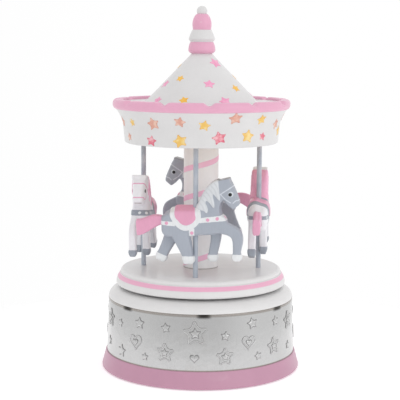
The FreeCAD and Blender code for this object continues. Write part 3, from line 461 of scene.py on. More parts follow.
def water_colour(name, pale, full, gathered):
    """Printed star: uneven wash, with pigment gathered at its border."""
    material, tree, shader = new_material(name)
    bleed = noise(tree, object_place(tree), scale=900.0, detail=4.0, roughness=0.65)
    wash = noise(tree, object_place(tree), scale=330.0, detail=2.0)
    border = total(tree, attribute(tree, "border"), centred(tree, bleed, 1.2))
    tone = mixed(tree, ranged(tree, wash, (0.36, 0.6)), pale, full)
    tone = mixed(tree, ranged(tree, border, (0.75, 1.1), (0.0, 0.75)), tone, gathered)
    fill(tree, shader, Base_Color=tone, Roughness=ranged(tree, bleed, middle_range, (0.42, 0.52)))
    bumped(tree, shader, bleed, 0.02 * MM)
    return material


def floor_board():
    """Plain pale floor, faintly lit from below, that fades into the studio away from the object."""
    material, tree, shader = new_material("floor")
    place = object_place(tree)
    away = tree.nodes.new("ShaderNodeVectorMath")
    away.operation = "LENGTH"
    connect(tree, place, away.inputs[0])
    fill(
        tree, shader,
        Base_Color=mixed(tree, noise(tree, place, scale=3.0, detail=2.0), floor_light, floor_dark),
        Roughness=0.9, Specular_IOR_Level=0.1, Emission_Color=grey(1.0), Emission_Strength=floor_glow,
        Alpha=ranged(tree, away.outputs["Value"], floor_fade, (1.0, 0.0)),
    )
    return material


slot_materials = {
    "felt": felt(),
    "mauve_paint": paint("mauve_paint", mauve, roughness=0.45, wear=0.05),
    "white_paint": paint("white_paint", white, roughness=0.40),
    "pink_paint": paint("pink_paint", pink, roughness=0.42),
    "pole_paint": paint("pole_paint", pole_grey, roughness=0.40, streak=(1.0, 1.0, 0.08)),
    "bare_wood": bare_wood(),
    "silver_sheet": silver_sheet("silver_sheet", painted_seam_shade),
    "steel": metal("steel", steel_grey, 0.30, streak=(1.0, 1.0, 0.2), relief=0.008 * MM),
    "spring_steel": metal("spring_steel", spring_blue, 0.34, streak=(0.3, 0.3, 1.0), relief=0.01 * MM),
    "brass": metal("brass", brass_yellow, 0.28, streak=(0.3, 1.0, 1.0), relief=0.008 * MM),
    "cast_metal": metal("cast_metal", cast_grey, 0.46, streak=(1.0, 1.0, 1.0), relief=0.03 * MM),
    "nylon": nylon(),
}
column_material = column_paint()
spiral_material = paint("spiral_pink_lightened_for_shade", spiral_pink_lightened_for_shade, roughness=0.45)
relief_material = silver_sheet("silver_relief", crease_painted_shade)
star_materials = {name: water_colour("star_" + name, *wash) for name, wash in star_washes.items()}


def dress(node, material):
    """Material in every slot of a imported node."""
    for holder in nodes[node].material_slots:
        holder.material = material


def dress_nodes():
    """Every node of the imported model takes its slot's material; the horses are replaced further on."""
    for part in frame["record"]["subparts"]:
        material = slot_materials.get(part["material_slot"])
        if material:
            dress(part["node"], material)
    dress("column", column_material)


# Meshes

sharp_angle = 50.0
slope_step = 0.4 * MM
corner_cut = 0.22
star_points = 5
star_tip_share = 0.62
star_notch_share = 0.28
heart_points = 28
ridge_shoulder = 0.8


def placed(name, data):
    """New object with its data, linked into the scene."""
    item = bpy.data.objects.new(name, data)
    bpy.context.scene.collection.objects.link(item)
    return item


def new_piece(name, mesh, body, material):
    """Smooth object that rides on a body and takes a slot's finish."""
    for face in mesh.polygons:
        face.use_smooth = True
    mesh.set_sharp_from_angle(angle=math.radians(sharp_angle))
    mesh.materials.append(material)
    piece = placed(name, mesh)
    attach(piece, body)
    return piece


def mesh_from(shape, name):
    """Mesh of a finished shape, with its faces turned outwards."""
    bmesh.ops.recalc_face_normals(shape, faces=shape.faces)
    mesh = bpy.data.meshes.new(name)
    shape.to_mesh(mesh)
    shape.free()
    return mesh


def turned_loop(shape, profile, angle):
    """Points of a profile of (radius, height), at an angle in radians."""
    return [shape.verts.new((r * math.cos(angle), r * math.sin(angle), z)) for r, z in profile]


def bridge(shape, loops, closed=True):
    """Faces from each loop of points to the next, and from the last to the first if closed."""
    following = loops[1:] + loops[:1] if closed else loops[1:]
    for here, there in zip(loops, following):
        for k in range(len(here)):
            n = (k + 1) % len(here)
            shape.faces.new((here[k], here[n], there[n], there[k]))


def add_turned(name, profile, steps, body, slot):
    """Ring turned from a closed profile of (radius, height)."""
    shape = bmesh.new()
    loops = [turned_loop(shape, profile, 2 * math.pi * k / steps) for k in range(steps)]
    bridge(shape, loops)
    return new_piece(name, mesh_from(shape, name), body, slot_materials[slot])


class TurnedSurface:
    """Outside of a turned node, found by rays towards its axis."""

    skin = 0.05 * MM

    def __init__(self, node):
        mesh = nodes[node].data
        points = [vertex.co for vertex in mesh.vertices]
        self.tree = BVHTree.FromPolygons(points, [face.vertices[:] for face in mesh.polygons])
        self.low, self.high = (corner.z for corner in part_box(node))

    def within(self, height):
        """Height kept between the node's two ends."""
        return min(max(height, self.low + self.skin), self.high - self.skin)

    def radius(self, angle, height):
        """Outer radius at an angle in radians and a height."""
        outward = Vector((math.cos(angle), math.sin(angle), 0))
        start = outward * (2 * cad_box[1].x) + Vector((0, 0, self.within(height)))
        hit = self.tree.ray_cast(start, -outward)[0]
        return math.hypot(hit.x, hit.y)


def surface_patch(surface, angle, height, tilt):
    """Function that lays flat points (u right, v up, lift out) round a place on a turned surface."""
    middle = math.radians(angle)
    lean = surface.radius(middle, height + slope_step) - surface.radius(middle, height - slope_step)
    slope = math.atan2(lean, 2 * slope_step)
    turn = math.radians(tilt)

    def lay(u, v, lift):
        across = u * math.cos(turn) - v * math.sin(turn)
        up = u * math.sin(turn) + v * math.cos(turn)
        z = surface.within(height + up * math.cos(slope))
        around = middle + across / surface.radius(middle, z)
        radius = surface.radius(around, z) + lift * math.cos(slope)
        return Vector((radius * math.cos(around), radius * math.sin(around), z - lift * math.sin(slope)))

    return lay


def softened(points, times):
    """Closed outline with its corners cut, so that they are round."""
    keep = 1 - corner_cut
    for _ in range(times):
        cut = []
        for (ax, ay), (bx, by) in zip(points, points[1:] + points[:1]):
            cut.append((keep * ax + corner_cut * bx, keep * ay + corner_cut * by))
            cut.append((corner_cut * ax + keep * bx, corner_cut * ay + keep * by))
        points = cut
    return points


def star_outline(size, times=2):
    """Five-pointed star of about a size across, with its corners softened a number of times."""
    corners = []
    for k in range(2 * star_points):
        reach = size * (star_notch_share if k % 2 else star_tip_share)
        turn = k * math.pi / star_points
        corners.append((reach * math.sin(turn), reach * math.cos(turn)))
    return softened(corners, times)


def sharp_star_outline(size):
    """Five-pointed star with sharper points."""
    return star_outline(size, 1)


def heart_outline(size):
    """Heart of a size across, from the usual sine curve, which is 32 wide with its middle at -2."""
    points = []
    for k in range(heart_points):
        t = 2 * math.pi * k / heart_points
        x = 16 * math.sin(t) ** 3
        y = 13 * math.cos(t) - 5 * math.cos(2 * t) - 2 * math.cos(3 * t) - math.cos(4 * t)
        points.append((x * size / 32, (y + 2) * size / 32))
    return points


def add_cap(shape, layer, lay, outline, rings, sink):
    """Closed low shell over an outline: rings of (share, lift) from the middle out, sunk at its edge."""
    top = shape.verts.new(lay(0, 0, rings[0][1]))
    bottom = shape.verts.new(lay(0, 0, -sink))
    loops = []
    for share, lift in rings[1:] + [(1.0, -sink)]:
        loop = [shape.verts.new(lay(x * share, y * share, lift)) for x, y in outline]
        for vertex in loop:
            vertex[layer] = share
        loops.append(loop)
    bridge(shape, loops, closed=False)
    for middle, loop in ((top, loops[0]), (bottom, loops[-1])):
        for here, there in zip(loop, loop[1:] + loop[:1]):
            shape.faces.new((middle, there, here))


def add_ridge(shape, layer, lay, outline, width, height, sink):
    """Rounded ridge along a closed outline, clockwise, with its border on the outer side."""
    shoulder = ridge_shoulder * height
    section = (
        (-0.5, -sink), (-0.5, 0.0), (-0.25, shoulder), (0.0, height),
        (0.25, shoulder), (0.5, 0.0), (0.5, -sink),
    )
    before = outline[-1:] + outline[:-1]
    after = outline[1:] + outline[:1]
    loops = []
    for (ax, ay), (x, y), (bx, by) in zip(before, outline, after):
        length = math.hypot(bx - ax, by - ay)
        side_x = width * (by - ay) / length
        side_y = width * (ax - bx) / length
        loop = []
        for share, lift in section:
            vertex = shape.verts.new(lay(x + side_x * share, y + side_y * share, lift))
            vertex[layer] = 0.5 - share
            loop.append(vertex)
        loops.append(loop)
    bridge(shape, loops)


# Printed stars. Places are (angle, height, size, tilt), with height and size in millimetres

decal_rings = [
    (0.0, 0.12 * MM), (0.45, 0.12 * MM), (0.75, 0.12 * MM), (0.9, 0.11 * MM), (0.985, 0.10 * MM),
]
decal_sink = 0.15 * MM
star_stretch = 1.12
big, medium, small = 7.0, 5.8, 4.4
skirt_stars = {
    "yellow": [
        (-142, 143.4, small, 10), (-100, 134.6, big, 18), (-83, 143.2, medium, -12), (-50.5, 137, big, -8),
        (-40, 145.9, medium, 14), (-10, 138.3, medium, 5), (24, 144.5, big, 12), (66, 135, medium, -15),
        (98, 143, medium, 20), (138, 136.5, big, 5), (176, 138, medium, -10),
    ],
    "salmon": [
        (-161, 143, medium, -8), (-149.5, 135, small, 12), (-120, 143.5, big, 12),
        (-99.7, 145, medium, -14), (-62, 147, big, 8), (-19, 142.6, medium, 16), (3, 146, big, -10),
        (47, 146, medium, 8), (77, 145.5, big, -6), (120, 145, medium, 14), (152, 146, big, -12),
    ],
    "red": [
        (-123, 134, medium, -10), (-72.5, 136.4, big, 14), (-36, 136.4, small, -12), (10, 134.5, medium, 8),
        (42, 136, big, -14), (90, 134.5, medium, 10), (114, 136, small, -8), (163, 134.5, medium, 16),
    ],
}
cone_stars = {
    "pink": [
        (-152, 164.2, 5.4, 15), (-138, 155.4, 5.2, 4), (-74, 164.6, 5.6, -10), (-60, 155.4, 6.2, 18),
        (-39, 176, 6.6, 12), (8, 157.4, 5.2, -12), (44, 166, 5.6, 10), (92, 172, 4.6, 20),
        (118, 158, 5.4, -8), (168, 160, 5.4, 12),
    ],
    "gold": [
        (-172, 174, 3.8, -6), (-124, 167.4, 4.3, -14), (-104, 156.0, 4.8, 20), (-33, 162.1, 4.9, 10),
        (4, 168, 3.8, 5), (70, 157, 4.6, -16), (146, 168, 3.8, 8),
    ],
}


def add_stars(node, body, stars):
    """Stars of each colour on a turned node, joined into one piece per colour."""
    surface = TurnedSurface(node)
    for colour, places in stars.items():
        shape = bmesh.new()
        layer = shape.verts.layers.float.new("border")
        for angle, height, size, tilt in places:
            lay = surface_patch(surface, angle, height * MM, tilt)
            outline = [(x * star_stretch, y) for x, y in star_outline(size * MM)]
            add_cap(shape, layer, lay, outline, decal_rings, decal_sink)
        name = f"{node}_stars_{colour}"
        new_piece(name, mesh_from(shape, name), body, star_materials[colour])


# Pressed relief of the silver band, repeated round it, with places as for the printed stars

relief_repeats = 2
relief_sink = 0.2 * MM
ridge_width = 0.85 * MM
ridge_height = 0.42 * MM
middle_share = 0.5
puffy_rings = [(0.0, 0.45 * MM), (0.4, 0.42 * MM), (0.7, 0.34 * MM), (0.9, 0.18 * MM), (1.0, 0.02 * MM)]
ringed_stars = [
    (-156, 31.5, 9.6, 0), (-106, 19.5, 9.4, 0), (-88, 30.9, 12.2, 4),
    (-70.5, 17.9, 8.8, 0), (-36, 20.0, 9.0, 6), (-18, 31.5, 9.6, 8),
]
ringed_hearts = [(-126.5, 22.8, 8.8, 4), (-55.5, 24.4, 8.2, -4), (3, 20.5, 8.4, 0)]
puffy_stars = [
    (-157, 18.0, 5.6, 10), (-141, 31.4, 4.6, -15), (-139, 15.8, 7.2, -4), (-123.5, 33.9, 6.6, 0),
    (-119, 15.8, 4.5, 0), (-105.5, 33.3, 5.5, 8), (-70.3, 29.3, 5.3, -8), (-53, 35.0, 6.4, 12),
    (-49, 16.4, 4.8, 14), (-34, 33.8, 5.6, 5), (-19, 17.2, 5.0, -6),
]
puffy_hearts = [(-88.3, 17.1, 5.4, 0), (3, 33.0, 5.0, 10)]


def add_puffy(shape, layer, lay, outline, size):
    """Ornament puffed up from the sheet."""
    add_cap(shape, layer, lay, outline(size), puffy_rings, relief_sink)


def add_ringed(shape, layer, lay, outline, size):
    """Ornament of a ridge round a smaller puffy middle."""
    add_ridge(shape, layer, lay, outline(size), ridge_width, ridge_height, relief_sink)
    add_puffy(shape, layer, lay, outline, middle_share * size)


def add_relief():
    """Stars and hearts pressed out of the silver band."""
    surface = TurnedSurface("silver_sleeve")
    kinds = (
        (add_ringed, sharp_star_outline, ringed_stars), (add_ringed, heart_outline, ringed_hearts),
        (add_puffy, star_outline, puffy_stars), (add_puffy, heart_outline, puffy_hearts),
    )
    shape = bmesh.new()
    layer = shape.verts.layers.float.new("border")
    for turn in range(relief_repeats):
        swing = turn * 360 / relief_repeats
        for add_ornament, outline, places in kinds:
            for angle, height, size, tilt in places:
                lay = surface_patch(surface, angle + swing, height * MM, tilt)
                add_ornament(shape, layer, lay, outline, size * MM)
    mesh = mesh_from(shape, "sleeve_relief")
    new_piece("sleeve_relief", mesh, "base", relief_material)


# Rolled upper edge of the silver band

rolled_edge_radius = 0.5 * MM
rolled_edge_drop = 0.6 * MM
rolled_edge_stand = 0.1 * MM
rolled_edge_points = 14
rolled_edge_steps = 240


def add_rolled_edge():
    """Silver bead where the band's upper edge is rolled over under the cover."""
    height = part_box("silver_sleeve")[1].z - rolled_edge_drop
    reach = TurnedSurface("silver_sleeve").radius(0.0, height) - rolled_edge_radius + rolled_edge_stand
    profile = []
    for k in range(rolled_edge_points):
        turn = 2 * math.pi * k / rolled_edge_points
        across = rolled_edge_radius * math.cos(turn)
        profile.append((reach + across, height + rolled_edge_radius * math.sin(turn)))
    add_turned("sleeve_rolled_edge", profile, rolled_edge_steps, "base", "silver_sheet")


# Painted bands of column and platform

band_lift = 0.09 * MM
spiral_width = 3.2 * MM
spiral_edge = 0.44
spiral_angle = -79.0
spiral_height = 102.3 * MM
spiral_upper_pitch = 16.2 * MM
spiral_lower_pitch = 18.8 * MM
spiral_steps = 48
weld_distance = 0.001 * MM
platform_band_low = 52.9 * MM
platform_band_high = 55.2 * MM
platform_band_rows = 5
platform_band_steps = 180


def add_spiral():
    """Pink band wound by hand up the column, a little tighter towards the top."""
    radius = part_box("column")[1].x
    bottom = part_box("platform")[1].z
    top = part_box("canopy_board")[0].z
    first = math.floor((bottom - spiral_width - spiral_height) / spiral_lower_pitch * spiral_steps)
    last = math.ceil((top + spiral_width - spiral_height) / spiral_upper_pitch * spiral_steps)
    section = (
        (-0.5, -band_lift), (-0.5, 0.0), (-spiral_edge, band_lift),
        (spiral_edge, band_lift), (0.5, 0.0), (0.5, -band_lift),
    )
    shape = bmesh.new()
    loops = []
    for k in range(first, last + 1):
        pitch = spiral_upper_pitch if k > 0 else spiral_lower_pitch
        angle = math.radians(spiral_angle) + 2 * math.pi * k / spiral_steps
        middle = spiral_height + pitch * k / spiral_steps
        profile = []
        for share, lift in section:
            z = min(max(middle + share * spiral_width, bottom + band_lift), top - band_lift)
            profile.append((radius + lift, z))
        loops.append(turned_loop(shape, profile, angle))
    bridge(shape, loops, closed=False)
    shape.faces.new(loops[0])
    shape.faces.new(loops[-1])
    bmesh.ops.dissolve_degenerate(shape, edges=shape.edges, dist=weld_distance)
    mesh = mesh_from(shape, "column_spiral")
    new_piece("column_spiral", mesh, "carousel", spiral_material)


def add_platform_band():
    """Pink band painted round the platform's shoulder."""
    surface = TurnedSurface("platform")
    outer = []
    inner = []
    for k in range(platform_band_rows + 1):
        z = platform_band_low + (platform_band_high - platform_band_low) * k / platform_band_rows
        radius = surface.radius(0.0, z)
        outer.append((radius + band_lift, z))
        inner.append((radius - band_lift, z))
    add_turned("platform_band", outer + inner[::-1], platform_band_steps, "carousel", "pink_paint")


# Rim with soft notches, in place of the cut one

rim_steps = 720
rim_belly_share = 0.55
rim_top_round = 2.2 * MM
rim_inner_round = 0.9 * MM
rim_clearance = 0.05 * MM
rim_belly_rows = 8
rim_top_rows = 10
rim_inner_rows = 8
rim_notches = 12
rim_notch_angle = -79.8
rim_notch_half_angle = 4.6
rim_notch_depth = 1.8 * MM
rim_still_share = 0.3


def quarter_turn(rows):
    """Angles in radians from nothing to a quarter turn."""
    return [math.pi / 2 * k / rows for k in range(rows + 1)]


def rim_profile(inner, foot, outer, height):
    """Section of the rim as (radius, height over its underside)."""
    belly = rim_belly_share * height
    profile = [(inner + rim_clearance, 0.0), (foot, 0.0)]
    for turn in quarter_turn(rim_belly_rows)[1:]:
        profile.append((foot + (outer - foot) * math.sin(turn), belly * (1 - math.cos(turn))))
    for turn in quarter_turn(rim_top_rows)[1:]:
        reach = outer - rim_top_round * (1 - math.cos(turn))
        profile.append((reach, belly + (height - belly) * math.sin(turn)))
    for turn in quarter_turn(rim_inner_rows):
        reach = inner + rim_inner_round * (1 - math.sin(turn))
        profile.append((reach, height - rim_inner_round * (1 - math.cos(turn))))
    return profile


def rim_dip(degrees):
    """How far the rim's top dips at an angle."""
    spacing = 360 / rim_notches
    off = abs((degrees - rim_notch_angle + spacing / 2) % spacing - spacing / 2)
    share = min(off / rim_notch_half_angle, 1.0)
    return rim_notch_depth * (0.5 + 0.5 * math.cos(math.pi * share))


def add_rim():
    """Rounded rim whose top dips softly at each notch."""
    low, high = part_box("canopy_rim")
    height = high.z - low.z
    still = rim_still_share * height
    profile = rim_profile(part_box("canopy_deck")[1].x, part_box("canopy_skirt")[1].x, high.x, height)
    shape = bmesh.new()
    loops = []
    for k in range(rim_steps):
        degrees = 360 * k / rim_steps
        dip = rim_dip(degrees)
        dipped = []
        for radius, z in profile:
            share = max(0.0, (z - still) / (height - still))
            dipped.append((radius, low.z + z - dip * share))
        loops.append(turned_loop(shape, dipped, math.radians(degrees)))
    bridge(shape, loops)
    mesh = mesh_from(shape, "rim_soft")
    rim = new_piece("rim_soft", mesh, "carousel", slot_materials["pink_paint"])
    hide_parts("canopy_rim")


# Horses: one carving, painted in two schemes. Places in millimetres, x forward and z above the platform

# The carving, remeshed and smoothed, with its pole's bore filled
voxel = 0.36 * MM
smoothing = 5
smoothing_factor = 0.5
merge_distance = 0.002 * MM
plug_radius = 1.7 * MM
plug_heights = (25.6, 37.6)
plug_segments = 32

# Saddle, blanket and straps
saddle_outline = [
    (-11.2, 38.6), (-10.2, 34.2), (-7.6, 31.0), (-4.6, 30.1), (-1.4, 31.2),
    (0.5, 33.6), (0.3, 37.4), (-1.0, 42.5), (-11.4, 42.5),
]
blanket_outline = [
    (-14.1, 38.4), (-13.2, 33.8), (-11.2, 30.4), (-8.2, 27.8), (-5.2, 26.9), (-1.6, 27.8),
    (1.8, 30.4), (3.5, 34.2), (3.3, 37.8), (1.6, 42.5), (-14.0, 42.5),
]
chest_strap = [(2.6, 34.3), (2.6, 31.4), (15.1, 32.6), (24.0, 32.9), (24.0, 35.9), (15.1, 35.6)]
rear_strap = [(-24.0, 32.0), (-24.0, 30.0), (-19.5, 30.0), (-10.8, 29.4), (-11.6, 32.0), (-19.5, 32.0)]
girth_strap = [(-3.1, 28.4), (-0.2, 28.4), (-0.2, 23.7), (-3.1, 23.7)]

# Dots on the straps: side ones as (x, z), front ones as (y, z)
side_dots = [(7.1, 33.2), (12.3, 33.9), (-15.6, 31.0), (-1.6, 25.9)]
front_dots = [(-0.1, 34.2), (3.9, 34.2)]
dot_radius = 0.95

# Mane, crown, tail and hooves
mane_outline = [
    (3.6, 38.6), (4.9, 38.2), (6.6, 36.6), (7.2, 38.3), (6.6, 40.8), (5.8, 42.4), (6.0, 44.0),
    (8.2, 42.4), (9.8, 40.1), (10.5, 39.7), (10.7, 40.9), (10.3, 43.8), (9.8, 46.0), (9.8, 47.8),
    (11.6, 45.7), (13.0, 44.0), (13.6, 43.7), (13.8, 45.0), (13.3, 48.3), (12.9, 51.0), (12.8, 54.3),
    (12.4, 60.0), (-8.0, 60.0), (-1.2, 41.6), (1.4, 39.8),
]
crown_outline = [(12.0, 54.7), (19.4, 56.1), (21.0, 60.0), (12.0, 60.0)]
tail_outline = [(-18.9, 40.0), (-18.5, 26.0), (-40.0, 10.0), (-40.0, 40.0)]
tail_half_width = 2.4
hoof_outlines = [
    [(17.0, 13.2), (30.0, 13.2), (30.0, 0.0), (17.0, 0.0)],
    [(4.0, 12.8), (15.0, 12.8), (15.0, 0.0), (4.0, 0.0)],
    [(-10.0, 11.6), (3.0, 11.6), (3.0, 0.0), (-10.0, 0.0)],
    [(-26.0, 15.6), (-13.0, 10.2), (-13.0, 0.0), (-26.0, 0.0)],
]

# Bridle, mouth and eyes
bridle_lines = [
    [(13.9, 47.3), (20.4, 51.5), (26.0, 52.4)],
    [(13.9, 47.3), (16.4, 44.6), (19.4, 42.6)],
    [(20.8, 42.4), (22.2, 43.7), (28.0, 44.7)],
]
bridle_width = 0.62
mouth_line = [(21.6, 40.5), (28.0, 41.2)]
mouth_width = 0.42
mouth_half_length = 2.0
eye_place = (19.2, 47.1)
eye_radius = 1.05
eye_ring_place = (19.5, 47.25)
eye_ring_radius = 1.5
eye_depth = 2.2

# Slimmer body, with a face that narrows forwards and a squarer crown
slimness = 0.88
face_top = (20.9, 51.0)
face_normal = (0.922, 0.386)
face_depth = 9.0
face_low = 38.0
face_high = 55.0
face_fade = 2.6
face_taper = 0.36
face_curve = 1.5
crown_low = 47.0
crown_fade = 6.0
crown_half = 4.4
crown_square = 0.42

# Round back, near legs drawn up, and hooves that taper downwards
back_end = 5.0
back_low = 33.0
back_fade = 4.0
back_half = 5.6
back_round = 1.6
near_leg_top = 22.0
near_leg_span = 16.0
near_leg_limit = 1.2
near_leg_shift = 1.7
leg_spread = 3.0
hoof_height = 7.0
hoof_taper = 0.8
toe_taper = 0.6

# Relief and edges of the painted layers, and strands of the mane, painted darker in their grooves as
# painted shade
relief_heights = {"trim": 0.22, "pink": 0.22, "mane": 0.3, "dots": 0.14, "eye": 0.16}
relief_slope = 0.5
paint_edge = 0.07
paint_waver = 0.35
strand_across = (0.86, 0.5)
strand_bend = (0.55, -0.4)
strand_width = 2.0
strand_wave = 1.5
strand_height = 0.14
strand_groove = (-1.0, 0.2)
painted_groove_shade = 0.9

grey_scheme = {
    "trim": trim_white, "hooves": trim_white, "mane": mane_white, "pink": saddle_pink, "dots": saddle_pink,
    "crown": crown_grey, "bridle": bridle_grey, "ring": ring_grey, "eye": eye_black,
}
white_scheme = {
    "trim": hoof_grey, "hooves": hoof_grey, "mane": mane_pink_lightened_for_shade, "pink": saddle_pink, "dots": trim_white,
    "crown": trim_white, "bridle": saddle_pink, "mouth": mouth_brown, "ring": trim_white, "eye": eye_black,
}


def segment_distance(start, end, x, z):
    """Distance of many points from one straight line between two places."""
    run_x, run_z = end[0] - start[0], end[1] - start[1]
    along = ((x - start[0]) * run_x + (z - start[1]) * run_z) / (run_x ** 2 + run_z ** 2)
    along = np.clip(along, 0.0, 1.0)
    return np.hypot(x - start[0] - along * run_x, z - start[1] - along * run_z)


def line_distance(points, x, z):
    """Distance of many points from a line through places."""
    parts = [segment_distance(a, b, x, z) for a, b in zip(points, points[1:])]
    return np.minimum.reduce(parts)


def outline_distance(points, x, z):
    """Distance of many points from a closed outline, negative inside it."""
    inside = np.zeros(x.shape, bool)
    for (ax, az), (bx, bz) in zip(points, points[1:] + points[:1]):
        if az != bz:
            crossing = ax + (z - az) * (bx - ax) / (bz - az)
            inside ^= ((az > z) != (bz > z)) & (x < crossing)
    distance = line_distance(points + points[:1], x, z)
    return np.where(inside, -distance, distance)


def nearest_outline(outlines, x, z):
    """Distance of many points from the nearest of several outlines."""
    return np.minimum.reduce([outline_distance(points, x, z) for points in outlines])


def round_distance(place, radius, x, z):
    """Distance of many points from a disc, negative inside it."""
    return np.hypot(x - place[0], z - place[1]) - radius


def dot_distance(x, y, z):
    """Distance of each point from the dots, discs on the sides and balls at the front of the chest."""
    dots = [round_distance(place, dot_radius, x, z) for place in side_dots]
    for side, height in front_dots:
        off = np.hypot(y - side, z - height)
        chest = x[off < dot_radius / 2].max()
        dots.append(np.hypot(off, x - chest) - dot_radius)
    return np.minimum.reduce(dots)


def paint_layers(x, y, z):
    """Distance of each point from each painted region, negative inside."""
    trim = [softened(blanket_outline, 2), chest_strap, rear_strap, girth_strap]
    saddle = outline_distance(softened(saddle_outline, 2), x, z)
    tail = np.maximum(outline_distance(tail_outline, x, z), np.abs(y) - tail_half_width)
    bridle = np.minimum.reduce([line_distance(line, x, z) for line in bridle_lines])
    mouth = line_distance(mouth_line, x, z) - mouth_width / 2
    beside = eye_depth - np.abs(y)
    return {
        "trim": nearest_outline(trim, x, z),
        "hooves": nearest_outline(hoof_outlines, x, z),
        "mane": outline_distance(softened(mane_outline, 1), x, z),
        "crown": outline_distance(crown_outline, x, z),
        "pink": np.minimum(saddle, tail),
        "dots": dot_distance(x, y, z),
        "bridle": bridle - bridle_width / 2,
        "mouth": np.maximum(mouth, np.abs(y) - mouth_half_length),
        "ring": np.maximum(round_distance(eye_ring_place, eye_ring_radius, x, z), beside),
        "eye": np.maximum(round_distance(eye_place, eye_radius, x, z), beside),
    }


def carved_horse():
    """The front horse's solid about its own pole, with its bore filled and its edges softened."""
    low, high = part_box("pole_front")
    home = Vector(((low.x + high.x) / 2, (low.y + high.y) / 2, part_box("platform")[1].z))
    shape = bmesh.new()
    shape.from_mesh(nodes["horse_front"].data)
    bmesh.ops.translate(shape, verts=shape.verts, vec=-home)
    bmesh.ops.remove_doubles(shape, verts=shape.verts, dist=merge_distance)
    bottom, top = (height * MM for height in plug_heights)
    bmesh.ops.create_cone(
        shape, cap_ends=True, segments=plug_segments, radius1=plug_radius, radius2=plug_radius,
        depth=top - bottom, matrix=Matrix.Translation((0, 0, (bottom + top) / 2)),
    )
    block = placed("carving", mesh_from(shape, "carving"))
    remesh = block.modifiers.new("remesh", "REMESH")
    remesh.mode = "VOXEL"
    remesh.voxel_size = voxel
    soften = block.modifiers.new("soften", "SMOOTH")
    soften.factor = smoothing_factor
    soften.iterations = smoothing
    softened_block = block.evaluated_get(bpy.context.evaluated_depsgraph_get())
    carving = bpy.data.meshes.new_from_object(softened_block)
    bpy.data.objects.remove(block)
    return carving, home


def point_values(mesh, key):
    """Places or normals of a mesh's points, a row for each."""
    values = np.empty(3 * len(mesh.vertices))
    mesh.vertices.foreach_get(key, values)
    return values.reshape(-1, 3)


def share_of(amount, full):
    """Share that an amount is of a full one, from none to all."""
    return np.clip(amount / full, 0.0, 1.0)


def slimmed(x, y, z):
    """Sideways places on a slimmer body with a narrow face and a square crown."""
    behind_face = (x - face_top[0]) * face_normal[0] + (z - face_top[1]) * face_normal[1]
    taper = share_of(face_depth + behind_face, face_depth) * (z > face_low)
    taper *= share_of(face_high - z, face_fade)
    y = y * slimness * (1.0 - face_taper * taper ** face_curve)
    crown = share_of(z - crown_low, crown_fade)
    return y * (1.0 + crown * crown_square * np.clip(1.0 - (y / crown_half) ** 2, 0.0, 1.0))


def reshaped(x, y, z, hooves):
    """Places on a horse with a round back, drawn-up near legs and tapered hooves."""
    back = share_of(back_end - x, back_end) * share_of(z - back_low, back_fade)
    shorter = np.clip((near_leg_top - z) / near_leg_span, 0.0, near_leg_limit)
    height = z - back_round * back * (y / back_half) ** 2
    height += np.where(y < 0, near_leg_shift * shorter, 0.0)
    low = share_of(-hooves, hoof_height) ** 2
    sideways = y - (y - np.sign(y) * leg_spread) * hoof_taper * low
    forward = x.copy()
    for points in hoof_outlines:
        hoof = outline_distance(points, x, z) < 0
        forward[hoof] -= (x[hoof] - x[hoof].mean()) * toe_taper * low[hoof]
    return np.stack((forward, sideways, height), axis=1)


def strand_pattern(x, z, sideways):
    """Wavy strands, from -1 in a groove to 1 on a crest, where the surface faces sideways."""
    wave = strand_wave * np.sin(strand_bend[0] * x + strand_bend[1] * z)
    across = strand_across[0] * x + strand_across[1] * z
    return sideways ** 2 * np.sin(across * 2 * np.pi / strand_width + wave)


def relief_rise(layers, strands):
    """Rise of each point under its painted layers and its strands."""
    rise = strand_height * strands * share_of(-layers["mane"], 1.0)
    for name, height in relief_heights.items():
        rise += height * np.clip(0.5 - layers[name] / relief_slope, 0.0, 1.0)
    return rise


def finish_carving(carving):
    """Carving in its final shape, with painted parts raised and the paint's distances stored."""
    normals = point_values(carving, "normal")
    x, y, z = (point_values(carving, "co") / MM).T
    y = slimmed(x, y, z)
    layers = paint_layers(x, y, z)
    strands = strand_pattern(x, z, normals[:, 1])
    rise = relief_rise(layers, strands)
    places = reshaped(x, y, z, layers["hooves"]) + normals * rise[:, None]
    carving.vertices.foreach_set("co", (places * MM).ravel())
    layers["strand"] = strands
    for name, values in layers.items():
        carving.attributes.new(name, "FLOAT", "POINT").data.foreach_set("value", values)
    carving.update()


def horse_paint(name, coat, scheme):
    """Coat with painted layers over it, each bounded by its stored distance."""
    material, tree, shader = new_material(name)
    waver = centred(tree, noise(tree, object_place(tree), scale=700.0), paint_waver)
    colour = coat
    for layer, tone in scheme.items():
        distance = total(tree, attribute(tree, layer), waver)
        # The mane is painted darker in its strands' grooves, as painted shade
        if layer == "mane":
            groove = ranged(tree, attribute(tree, "strand"), strand_groove, (1.0, 0.0))
            tone = mixed(tree, groove, tone, shaded(tone, painted_groove_shade))
        covered = ranged(tree, distance, (-paint_edge, paint_edge), (1.0, 0.0))
        colour = mixed(tree, covered, colour, tone)
    brush_paint(tree, shader, colour, streak=(1.0, 1.0, 0.12), relief=0.035 * MM, strokes=0.2)
    return material


def rotation(degrees, axis):
    """Turn about an axis."""
    return Matrix.Rotation(math.radians(degrees), 4, axis)


